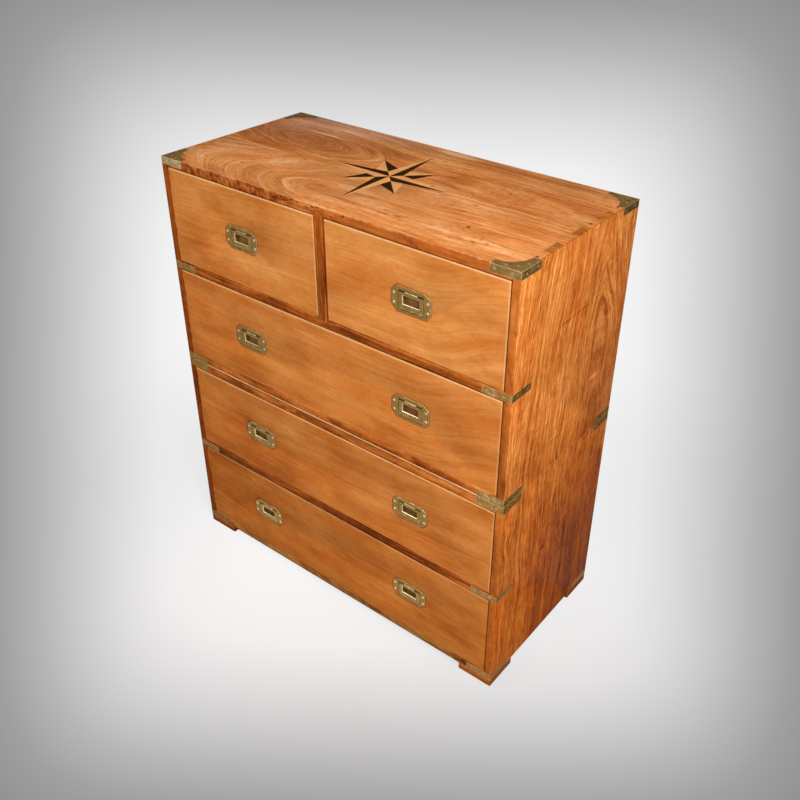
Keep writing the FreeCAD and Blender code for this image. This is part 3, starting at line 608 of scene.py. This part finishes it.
def eased(node, slot, material, width, segments=2, may_ease=lambda edge: True):
    """Make a copy of a CAD piece with its sharp edges rounded over."""
    shape = merged_copy(node)
    edges = [edge for edge in shape.edges
             if edge.is_manifold and edge.calc_face_angle() > SHARP_ANGLE and may_ease(edge)]
    bmesh.ops.bevel(shape, geom=edges, offset=width, offset_type="OFFSET", segments=segments,
                    profile=0.5, affect="EDGES", clamp_overlap=True, material=-1)
    finished(shape, f"{node}_eased", BODY_OF[node], slot, material, node)


def coat(node, material):
    """A new finish on a CAD piece that keeps its own shape."""
    slots = frame["nodes"][node].data.materials
    if not slots:
        slots.append(material)
    for index in range(len(slots)):
        slots[index] = material


# ---- The cut of the boards, in millimetres ----

HALF_WIDTH = 480
HALF_DEPTH = 225


def top_grain(shader, along, across):
    """Arches at the front left, an oval figure at the back left and straight grain beyond them."""
    middle, depth, climb = 82 - HALF_DEPTH, 60, 150
    arch = ((across - middle) ** 2 + depth ** 2) ** 0.5 - shader.step(along, -470, -60) * climb
    eye, reach, flatness, apart = (-325, 65), 255, 3.0, 400
    sideways = shader.least(abs(along - eye[0]), reach) / flatness
    oval = ((across - eye[1]) ** 2 + sideways * sideways) ** 0.5 + apart
    behind = shader.step(across, -34, -30)
    return arch + behind * (oval - arch)


def with_spots(shader, x, y, tone, spots):
    """A tone with oval patches, each a middle, a size and how much lighter."""
    for middle, size, lighter in spots:
        tone = tone + shader.spot(x, y, middle, size) * lighter
    return tone


# From the front left corner of the top: the dark oval, pale patches, knots, and dark dots at its ends
TOP_SPOTS = (
    ((150, 288), (200, 78), -0.13), ((150, 100), (240, 120), 0.04), ((470, 190), (230, 170), 0.07),
    ((520, 432), (90, 16), 0.3), ((172, 85), (9, 4), -0.4), ((637, 60), (16, 4), -0.4),
    ((773, 105), (6, 7), -0.4), ((600, 55), (30, 2.2), -0.4), ((264, 190), (10, 4), -0.4),
    ((720, 206), (9, 4), -0.4), ((946, 72), (5, 5), -0.6), ((946, 268), (5, 5), -0.6),
    ((946, 380), (5, 5), -0.6), ((6, 173), (5, 5), -0.6))
# Streaks: how far back, how wide, from where to where with how soft ends, and how much lighter
TOP_STREAKS = (
    (194, 7, (-50, 210, 60), 0.22), (226, 5, (190, 340, 50), 0.2), (227, 4, (600, 970, 80), 0.16),
    (352, 7, (95, 275, 60), 0.3), (343, 5, (105, 265, 60), -0.25), (362, 4, (700, 830, 50), 0.16))
PLAIN_TONE = 0.45  # of the front edge at the right


def top_marks(shader, place, tone):
    """The seam between the two boards, streaks, knots and the plainer front edge at the right."""
    x, y = place["X"] + HALF_WIDTH, place["Y"] + HALF_DEPTH
    level = y + shader.noise(shader.join(x / 90, y / 400, 0), 1) * 16
    tone = with_spots(shader, x, y, tone - shader.step(y, 120, 430) * 0.05, TOP_SPOTS)
    for back, width, ends, lighter in TOP_STREAKS:
        tone = tone + shader.near(abs(level - back), width) * shader.span(x, *ends) * lighter
    front = 1 - shader.step(y, 0.5, 1.5)
    return tone + (PLAIN_TONE - tone) * front * shader.step(x, 300, 700) * 0.55


def side_grain(shader, along, across):
    """Upright wavy grain, arched near the top at the back."""
    middle, depth = 115, 45
    return ((across - middle) ** 2 + depth ** 2) ** 0.5 + shader.step(along, 780, 1090) * 30


def side_marks(shader, place, tone):
    """Scratches, small knots and darker wood towards the back and the floor."""
    y, z = place["Y"] + HALF_DEPTH, place["Z"]
    right = shader.step(place["X"], -1, 1)
    low = 1 - shader.step(z, 80, 760)
    back = shader.step(y, 60, 330)
    tone = tone - back * (low * 0.17 + 0.05) - low * 0.12
    tone = tone + (0.3 - tone) * back * low * 0.3
    stains = ((80, 520), (170, 220), -0.07), ((100, 960), (220, 160), 0.04)
    tone = with_spots(shader, y, z, tone, stains)
    tone = tone - shader.near(abs(y + (z - 200) * 0.02 - 292), 9) * shader.span(z, 70, 370, 80) * 0.16
    scratch = shader.near(abs(z - 896 - (y - 215) * 0.05), 2.2) * shader.span(y, 150, 282, 30)
    dents = shader.near(abs(z - 620 - (y - 182) * 0.04), 3) * shader.span(y, 158, 208, 18)
    knots = ((336, 696), (24, 7), 0.2), ((186, 303), (11, 8), -0.35), ((248, 311), (9, 7), 0.15)
    return tone + right * with_spots(shader, y, z, dents * 0.25 - scratch * 0.3, knots)


def foot_marks(shader, place, tone):
    """The left feet are darker."""
    return tone - (1 - shader.step(place["X"], -440, -300)) * 0.2


# ---- Operators, one for each kind of piece ----

RED, OLIVE = (1.0, 0.88, 0.72), (0.80, 0.93, 0.95)


def rail(order, seed, tone, tint=RED, **front):
    """A dark narrow board between drawers."""
    return Board(order, seed, tone, tint=tint, contrast=1.3, fleck=0.5, rubbed=0, **front)


def side_board(seed, seam, front_tone):
    """A side board; the inner corner of its front edge meets the drawers."""
    return Board("ZYX", seed, 0.595, side_grain, (1.06, 0.95, 0.78), 1.15, wave=75, ripple=7,
                 bold=0.5, fine=0.75, fleck=0.6, curl=0.65, cloud=0.45, low_shade_tint=(0.86, 0.69, 0.35),
                 marks=side_marks, front_tone=front_tone, front_seams=seam, rubbed=0.15)


BOARDS = {
    "top_board": Board("XYZ", 3.1, 0.63, top_grain, (1, 1.06, 1.32), 0.95, wave=75, bold=0.7, fleck=0.5,
                       dashes=0.4, marks=top_marks, front_tone=-0.28, front_calm=-0.6,
                       front_tint=(1.0, 0.86, 0.66), front_seams=(BELOW,)),
    "upper_bottom_board": rail("XYZ", 8.3, 0.45, front_lights=((BELOW, 1.0),)),
    "lower_top_board": rail("XYZ", 12.9, 0.42, front_seams=(BELOW, ABOVE)),
    "base_board": rail("XYZ", 21.4, 0.34, OLIVE, front_seams=(BELOW,)),
    "upper_drawer_rail": rail("XZY", 31.7, 0.30, front_seams=(BELOW,)),
    "lower_drawer_rail": rail("XZY", 37.2, 0.25, front_seams=(BELOW,)),
    "centre_divider": rail("ZXY", 43.6, 0.35, front_seams=(LEFT, RIGHT)),
    "feet": Board("XZY", 51.8, 0.34, tint=RED, marks=foot_marks),
    "upper_right_side": side_board(61.5, (LEFT,), -0.17),
    "lower_right_side": side_board(68.5, (LEFT,), -0.075),
    "upper_left_side": side_board(75.5, (RIGHT,), -0.34),
    "lower_left_side": side_board(82.5, (RIGHT,), -0.33),
}


class CHEST_OT_cases(bpy.types.Operator):
    """Boards, rails and feet of the two cases"""
    bl_idname = "chest.cases"
    bl_label = "Cases"

    def execute(self, context):
        for node, board in BOARDS.items():
            eased(node, "case_wood", wood(f"{node}_wood", board), settings("chest_wood").case_arris)
        return {"FINISHED"}


class CHEST_OT_star(bpy.types.Operator):
    """The two woods of the star in the top"""
    bl_idname = "chest.star"
    bl_label = "Star"

    def execute(self, context):
        colours = settings("chest_wood")
        coat("star_ebony", inlay_wood("star_ebony_wood", colours.ebony, 0.5))
        coat("star_boxwood", inlay_wood("star_boxwood_wood", colours.boxwood, 0.24))
        return {"FINISHED"}


# Heights of the backs' seams, and the thickness of a drawer's sides and of its back, in millimetres
BACK_SEAMS = {"lower": (189, 339), "upper": (714, 864)}
BOX_THICKNESS = (12, 10)
RIM = 0.5 * MM  # only edges this near the top of a drawer's box are eased


class CHEST_OT_inside(bpy.types.Operator):
    """Backs, runners, pegs and the insides of the drawers"""
    bl_idname = "chest.inside"
    bl_label = "Inside"

    def execute(self, context):
        width = settings("chest_wood").lining_arris
        for number, node in enumerate(("lower_drawer_runners", "upper_drawer_runners", "drawer_guide")):
            eased(node, "inner_wood", lining_wood(f"{node}_wood", "YXZ", 3.3 + number, -0.1), width)
        eased("locating_pegs", "inner_wood", lining_wood("peg_wood", "ZXY", 9.1), width)
        for case, seams in BACK_SEAMS.items():
            coat(f"{case}_back_boards", lining_wood(f"{case}_back_wood", "XZY", 13.7, -0.15, seams))
        for number, drawer in enumerate(DRAWERS):
            sides, bottom = f"{drawer}_box", f"{drawer}_bottom"
            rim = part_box(sides)[1][2] - RIM

            def on_the_rim(edge):
                return all(corner.co.z > rim for corner in edge.verts)

            finish = lining_wood(f"{drawer}_side_wood", "YZX", 17.9 + 2 * number, box=BOX_THICKNESS)
            eased(sides, "inner_wood", finish, width, may_ease=on_the_rim)
            coat(bottom, lining_wood(f"{drawer}_bottom_wood", "XYZ", 29.3 + 3 * number, -0.05))
        return {"FINISHED"}


def leaning_grain(slope, start, end):
    """Growth rings that climb to the right over a part of a drawer front."""
    def grain(shader, along, across):
        return across - shader.step(along + HALF_WIDTH, start, end) * slope
    return grain


HANDLE_PLACE = 237.25      # millimetres from the chest's middle to a handle's
HANDLE_HALF = (49, 28)     # half a plate's width and height
HANDLE_CORNER = 64         # across plus up at a plate's cut corners
SLANT = 0.707              # turns that sum into a distance
FRONT_FACE = (-218, -214)  # the outer face of the drawer fronts lies before this


def drawer_marks(handle, *patches):
    """Dirt and painted shade round the plates, and cloudy patches: each a middle, a size and how much
    lighter.

    The handles' middle is at a height in millimetres. The wood is darker towards the left.
    """
    def add(shader, place, tone):
        x, z = place["X"] + HALF_WIDTH, place["Z"]
        across, up = abs(abs(place["X"]) - HANDLE_PLACE), abs(z - handle)
        corner = (across + up - HANDLE_CORNER) * SLANT
        outline = shader.most(shader.most(across - HANDLE_HALF[0], up - HANDLE_HALF[1]), corner)
        outside = 1 - shader.step(place["Y"], *FRONT_FACE)
        # Painted shadow and dirt in a ring round each handle plate
        tone = tone - shader.near(abs(outline - 0.6), 2.4) * outside * 0.3
        tone = with_spots(shader, x, z, tone, patches)
        return tone - (1 - shader.step(x, 0, 520)) * (1 - shader.step(z, 150, 800)) * 0.1
    return add


def drawer_front(seed, tone, tint, slope, start, end, lights, handle, *patches):
    """A front board, its top and right edges rubbed pale with a painted highlight, by the strengths
    given.
    """
    return Board("XZY", seed, tone, leaning_grain(slope, start, end), tint, 0.6, wave=34, ripple=2,
                 bold=0.5, fine=0.35, fleck=0.2, dashes=0.12, cloud=1.0, rubbed=0.2,
                 marks=drawer_marks(handle, *patches), front_lights=tuple(zip((ABOVE, RIGHT), lights)))


FRONTS = {
    "top_left_drawer": drawer_front(
        71.3, 0.64, (1, 1, 0.95), 25, 20, 470, (1.0, 0.5), 932.5,
        ((150, 1000), (60, 30), -0.1), ((90, 880), (80, 30), -0.07)),
    "top_right_drawer": drawer_front(
        77.9, 0.66, (1, 1, 0.95), 60, 740, 960, (1.0, 0.5), 932.5, ((760, 905), (150, 60), 0.04)),
    "second_drawer": drawer_front(
        83.2, 0.62, (1, 0.95, 0.85), 60, 700, 960, (0.95, 0.35), 679.5,
        ((400, 655), (60, 14), 0.06), ((60, 680), (340, 180), -0.08)),
    "third_drawer": drawer_front(
        90.4, 0.6, (0.98, 0.92, 0.8), 30, 500, 900, (1.0, 0.35), 405, ((215, 305), (230, 40), -0.06)),
    "bottom_drawer": drawer_front(
        97.6, 0.57, (0.95, 0.89, 0.72), -40, 60, 560, (0.45, 0.0), 153.5,
        ((215, 245), (200, 60), -0.05), ((60, 120), (300, 160), -0.04)),
}


class CHEST_OT_drawer_fronts(bpy.types.Operator):
    """The five drawer fronts"""
    bl_idname = "chest.drawer_fronts"
    bl_label = "Drawer fronts"

    def execute(self, context):
        width = settings("chest_wood").case_arris
        for drawer, board in FRONTS.items():
            eased(f"{drawer}_front", "drawer_front_wood", wood(f"{drawer}_front_wood", board), width)
        return {"FINISHED"}


CAP_LEVELS = (1046, 1048)  # the caps lie above these heights, in millimetres
MOUNT_FACING = (0.6, 0.8)  # how squarely a face of a cap or strap has to face


def mount_shade_and_highlight(shader, bright):
    """Caps and straps are darker on the sides, which is painted shade, and at the back and at the left.

    The cap at the front left has a painted highlight.
    """
    x, y, z = place_in_mm(shader)
    across, deep = (shader.step(part, *MOUNT_FACING) for part in facing(shader)[:2])
    is_cap = shader.step(z, *CAP_LEVELS)
    left = 1 - shader.step(x, -200, 200)
    # Painted highlight on the front of the cap at the front left
    front_cap_highlight = left * is_cap * deep * (1 - shader.step(y, -200, -190))
    back_cap = shader.step(y, 100, 150) * is_cap
    # Painted shade on the faces that look sideways
    side = across * (0.5 - is_cap * 0.2)
    low = 1 - shader.step(z, 40, 300)
    return bright - side - left * (low * 0.5 + 0.1) + front_cap_highlight * 0.4 - back_cap * 0.12


def mount_grime(shader):
    """Caps and straps are browner towards the floor."""
    height = place_in_mm(shader)[2]
    return (1 - shader.step(height, 200, 520)) * 0.5


class CHEST_OT_mounts(bpy.types.Operator):
    """Brass caps and straps of the cases"""
    bl_idname = "chest.mounts"
    bl_label = "Caps and straps"

    def execute(self, context):
        width = settings("chest_brass").mount_arris
        caps = brass("top_corner_caps_brass", 0.04, 0, 0.55, mount_shade_and_highlight, mount_grime)
        eased("top_corner_caps", "brass", caps, width)
        for node, age, seed in (("upper_straps", -0.12, 4.7), ("lower_straps", -0.1, 9.4)):
            finish = brass(f"{node}_brass", age, seed, 0.25, mount_shade_and_highlight, mount_grime,
                           tint=STRAP_TINT, graze=STRAP_GRAZE)
            eased(node, "brass", finish, width)
        return {"FINISHED"}


BAIL_HALF = (30.2, 20.1)   # half a bail's width and height, in millimetres
GRIP_HALF = (20.5, 9)      # half those of its grip hole
HINGE_PLACES = (15, 16.5)  # its hinges lie beyond these
PAN_DEPTHS = (1.0, 2.6)    # the finger pan lies behind these


def from_middle(shader, lift):
    """Millimetres sideways and up or down from the middle of a handle's solid, or half a lift below."""
    low, high = from_box(shader)
    return abs(low[0] - high[0]) * 0.5, abs(low[2] - high[2] + lift) * 0.5


def plate_shade_marks(shader, bright):
    """Painted shade lies round the bail in its plate, and the plates are darker near the floor."""
    x, z = from_middle(shader, 3)
    low = 1 - shader.step(place_in_mm(shader)[2], 160, 400)
    # Painted shade in a ring round the bail
    rim = shader.near(abs(shader.most(x - BAIL_HALF[0], z - BAIL_HALF[1])), 2)
    return bright - rim * 0.4 - low * 0.1


def pan_polish_and_reflection(shader):
    """Old polish and a painted reflection of the brown wood lie deep in the finger pan."""
    return shader.step(from_box(shader)[0][1], *PAN_DEPTHS) * 0.8


def bail_highlight_and_shade(shader, bright):
    """The grip hole's lip is rubbed bright with a painted highlight; its hinges and back have painted
    shade.
    """
    low, high = from_box(shader)
    x, z = from_middle(shader, -3)
    # Painted highlight on the lip of the grip hole
    lip = shader.near(abs(shader.most(x - GRIP_HALF[0], z - GRIP_HALF[1])), 1.8)
    # Painted shadow at the hinges, and painted shade on the faces set back from the front
    hinges = shader.near(high[2], 3.4) * shader.step(x, *HINGE_PLACES)
    return bright + lip * 0.5 - hinges * 1.1 - shader.step(low[1], 1.2, 2.4) * 0.4


class CHEST_OT_handles(bpy.types.Operator):
    """Handle plates with their pans, and the bails that swing in them"""
    bl_idname = "chest.handles"
    bl_label = "Handles"

    def execute(self, context):
        width = settings("chest_brass").handle_arris
        plates = brass("handle_plate_brass", 0.0, 2.2, 0.2, plate_shade_marks, pan_polish_and_reflection)
        for drawer in DRAWERS:
            eased(f"{drawer}_handle_plates", "brass", plates, width)
        bails = brass("bail_brass", -0.05, 6.4, 0.4, bail_highlight_and_shade)
        for bail in BAILS:
            eased(bail, "brass", bails, width, segments=3)
        return {"FINISHED"}


class CHEST_OT_screws(bpy.types.Operator):
    """Slotted countersunk screws"""
    bl_idname = "chest.screws"
    bl_label = "Screws"

    def execute(self, context):
        # The handles' screw heads are paled to a painted glint
        bright = brass("handle_screw_brass", -0.5, 9.8, bare=settings("chest_brass").screw)
        dull = brass("case_screw_brass", -0.08, 9.8, 0.4, mount_shade_and_highlight)
        turns = random.Random(settings("chest_brass").seed)
        nodes = sorted(node for node in frame["nodes"] if node.endswith("_screws"))
        for node in nodes:
            shape = bmesh.new()
            for place in screw_places(node):
                add_screw(shape, place, turns.uniform(0, math.pi))
            material = bright if node.endswith("_handle_screws") else dull
            finished(shape, f"{node}_slotted", BODY_OF[node], "brass", material, node)
        return {"FINISHED"}


def screw_places(node):
    """For each screw of a node: its head's middle, its outward direction and its head's radius."""
    shape = merged_copy(node)
    places = []
    for screw in solids(shape):
        ends = box_of(screw)
        axis = max(range(3), key=lambda way: ends[1][way] - ends[0][way])
        middle = (ends[0] + ends[1]) / 2

        def head_radius(end):
            rim = [corner.co - middle for corner in screw if abs(corner.co[axis] - end[axis]) < AT_END]
            return max(math.hypot(arm[axis - 1], arm[axis - 2]) for arm in rim)

        head, tail = sorted(ends, key=head_radius, reverse=True)
        outward = Vector()
        outward[axis] = math.copysign(1, head[axis] - tail[axis])
        centre = middle.copy()
        centre[axis] = head[axis]
        places.append((centre, outward, head_radius(head)))
    shape.free()
    return sorted(places, key=lambda place: tuple(place[0]))


HEAD_SIDES = 20
HEAD_DEPTH, HEAD_TIP, SLOT_DEPTH = 0.55, 0.5, 0.3  # shares of the head's radius
HEAD_RIM = 0.25 * MM
HEAD_SUNK = HEAD_RIM * 0.4
FACES_UP = 0.9  # least upward part of the normal of the head's top


def add_screw(shape, place, turn):
    """A countersunk head with a slot, flush with the brass."""
    centre, outward, radius = place
    depth = radius * HEAD_DEPTH
    slot = settings("chest_brass").screw_slot
    screw = bmesh.new()
    bmesh.ops.create_cone(screw, cap_ends=True, segments=HEAD_SIDES, depth=depth,
                          radius1=radius * HEAD_TIP, radius2=radius)
    bmesh.ops.translate(screw, verts=screw.verts, vec=(0, 0, -depth / 2 - HEAD_SUNK))
    head = max(screw.faces, key=lambda face: face.calc_center_median().z)
    bmesh.ops.inset_region(screw, faces=[head], thickness=HEAD_RIM, depth=HEAD_SUNK)
    for side in (-1, 1):
        bmesh.ops.bisect_plane(screw, geom=[*screw.verts, *screw.edges, *screw.faces],
                               plane_co=(side * slot / 2, 0, 0), plane_no=(1, 0, 0))
    strip = [face for face in screw.faces if face.normal.z > FACES_UP
             and abs(face.calc_center_median().x) < slot / 4
             and face.calc_center_median().z > -HEAD_SUNK / 2]
    walls = bmesh.ops.extrude_face_region(screw, geom=strip)
    bmesh.ops.delete(screw, geom=strip, context="FACES_ONLY")
    floor = [corner for corner in walls["geom"] if isinstance(corner, bmesh.types.BMVert)]
    bmesh.ops.translate(screw, verts=floor, vec=(0, 0, -radius * SLOT_DEPTH))
    bmesh.ops.recalc_face_normals(screw, faces=screw.faces)
    outwards = Vector((0, 0, 1)).rotation_difference(outward).to_matrix().to_4x4()
    matrix = Matrix.Translation(centre) @ outwards @ Matrix.Rotation(turn, 4, "Z")
    bmesh.ops.transform(screw, matrix=matrix, verts=screw.verts)
    made = mesh_of(screw, "screw")
    shape.from_mesh(made)
    bpy.data.meshes.remove(made)


# ---- The stage, in metres ----

CAMERA_PLACE = Vector((1.2085, -1.4644, 1.7480))
CAMERA_AZIMUTH = math.radians(36.75)
CAMERA_ELEVATION = math.radians(32.52)
CAMERA_ROLL = math.radians(1.09)
CAMERA_LENS = 41.05
CAMERA_SHIFT = (-0.0352, -0.0187)
CAMERA_REACH = 200

LAMPS = {  # where each stands, the height that it faces, and its size
    "key": ((2.0, -1.6, 2.2), 0.6, 1.2),
    "fill": ((-1.1, -2.6, 2.2), 0.6, 1.6),
    "top": ((0.3, -0.2, 3.0), 0.6, 1.4),
    "side": ((2.6, -0.2, 2.2), 0.6, 1.2),
    "back": ((-2.2, 2.2, 0.6), 0.5, 1.0),
}

FLOOR_RADIUS = 60
FLOOR_SIDES = 96
# The pool of light: its direction, how it widens towards the back, how fast it fades, and its middle
POOL_TURN = math.radians(36.75)
POOL_SPREAD, POOL_NARROWEST = (0.843, 2.539), 0.3
POOL_SIDE = (2.28, 0.06, 0.03)
POOL_BACK = (0.900, 1.257)
POOL_SQUARENESS = 6
POOL_RIM = 1.15
POOL_FADE = ((0.35, 1), (0.52, 0.84), (0.61, 0.66), (0.7, 0.46), (0.78, 0.28), (0.87, 0.12), (1, 0))
GLOW = (0.7, 0.3)  # the floor's own light at the chest, and what is added further out
GLOW_REACH = (0.5, 1.5)
FLOOR_BOUNCE = (0.35, 0.35, 0.35)


def lamp(name, place, height, size, power):
    """A round lamp that faces the chest at some height."""
    light = bpy.data.lights.new(name, "AREA")
    light.shape, light.size, light.energy = "DISK", size, power
    stand = placed(name, light)
    stand.location = place
    stand.rotation_euler = (Vector((0, 0, height)) - stand.location).to_track_quat("-Z", "Y").to_euler()


class CHEST_OT_stage(bpy.types.Operator):
    """Floor, lamps, backdrop and camera"""
    bl_idname = "chest.stage"
    bl_label = "Studio"

    def execute(self, context):
        stage = context.scene.chest_stage
        for name, (place, height, size) in LAMPS.items():
            lamp(f"{name}_lamp", place, height, size, getattr(stage, f"{name}_power"))
        self.lay_floor(stage)
        self.hang_sky(context.scene, stage)
        self.place_camera(context.scene)
        context.scene.view_settings.view_transform = "Standard"
        return {"FINISHED"}

    def lay_floor(self, stage):
        """Pale paper, with a pool of light that reaches further towards the back."""
        shape = bmesh.new()
        bmesh.ops.create_circle(shape, cap_ends=True, segments=FLOOR_SIDES, radius=FLOOR_RADIUS)
        floor = placed("floor", mesh_of(shape, "floor"))
        shader = Shader("floor_paper")
        x, y = (part / PER_METRE for part in place_in_mm(shader)[:2])
        across, away = math.cos(POOL_TURN), math.sin(POOL_TURN)
        side = x * across + y * away
        back = y * across - x * away
        spread = shader.most(back * POOL_SPREAD[0] + POOL_SPREAD[1], POOL_NARROWEST)
        wide = (side * POOL_SIDE[0] + back * POOL_SIDE[1] - POOL_SIDE[2]) / spread
        deep = (POOL_BACK[0] - back * POOL_BACK[1]) / spread
        edge = (abs(wide) ** POOL_SQUARENESS + abs(deep) ** POOL_SQUARENESS) ** (1 / POOL_SQUARENESS)
        lift = stage.pool - stage.rim
        greys = [(share, (stage.rim + lift * light,) * 3) for share, light in POOL_FADE]
        colour = shader.ramp(edge / POOL_RIM, *greys)
        paper = shader.add("BsdfDiffuse", {"Color": colour})
        glow = shader.add("Emission", {"Color": colour})
        bounce = shader.add("BsdfDiffuse", {"Color": FLOOR_BOUNCE})
        far = shader.step((x * x + y * y) ** 0.5, *GLOW_REACH)
        shown = shader.blended(far * GLOW[1] + GLOW[0], paper, glow)
        seen = shader.rays("Camera", "Glossy", "Transmission")
        floor.data.materials.append(shader.result(shader.blended(seen, bounce, shown)))

    def hang_sky(self, scene, stage):
        """Even light from all round, which the camera sees as the backdrop's grey."""
        sky = Shader("studio", "worlds")
        light = sky.add("Background", {"Color": (1, 1, 1), "Strength": stage.sky})
        backdrop = sky.add("Background", {"Color": (stage.rim,) * 3})
        seen = sky.rays("Camera", "Transmission")
        scene.world = sky.result(sky.blended(seen, light, backdrop), "OutputWorld")

    def place_camera(self, scene):
        camera = bpy.data.cameras.new("camera")
        camera.lens = CAMERA_LENS
        camera.shift_x, camera.shift_y = CAMERA_SHIFT
        camera.clip_end = CAMERA_REACH
        stand = placed("camera", camera)
        turn = (Matrix.Rotation(CAMERA_AZIMUTH, 4, "Z")
                @ Matrix.Rotation(math.pi / 2 - CAMERA_ELEVATION, 4, "X")
                @ Matrix.Rotation(CAMERA_ROLL, 4, "Z"))
        stand.matrix_world = Matrix.Translation(CAMERA_PLACE) @ turn
        scene.camera = stand


# ---- The panel and the run ----

OPERATORS = (CHEST_OT_cases, CHEST_OT_star, CHEST_OT_inside, CHEST_OT_drawer_fronts, CHEST_OT_mounts,
             CHEST_OT_handles, CHEST_OT_screws, CHEST_OT_stage)
SETTINGS = {"chest_wood": ChestWoodSettings, "chest_brass": ChestBrassSettings,
            "chest_stage": ChestStageSettings}


class CHEST_PT_panel(bpy.types.Panel):
    """What the chest is made of"""
    bl_idname = "CHEST_PT_panel"
    bl_label = "Campaign chest"
    bl_space_type = "VIEW_3D"
    bl_region_type = "UI"
    bl_category = "Chest"

    def draw(self, context):
        for operator in OPERATORS:
            self.layout.operator(operator.bl_idname)
        for name, group in SETTINGS.items():
            box = self.layout.box()
            for key in group.__annotations__:
                box.prop(getattr(context.scene, name), key)


def register():
    for name, group in SETTINGS.items():
        bpy.utils.register_class(group)
        setattr(bpy.types.Scene, name, PointerProperty(type=group))
    for kind in (*OPERATORS, CHEST_PT_panel):
        bpy.utils.register_class(kind)


def unregister():
    for kind in (CHEST_PT_panel, *reversed(OPERATORS)):
        bpy.utils.unregister_class(kind)
    for name, group in SETTINGS.items():
        delattr(bpy.types.Scene, name)
        bpy.utils.unregister_class(group)


def main():
    register()
    for operator in OPERATORS:
        getattr(bpy.ops.chest, operator.bl_idname.split(".")[1])()


if __name__ == "__main__":
    main()
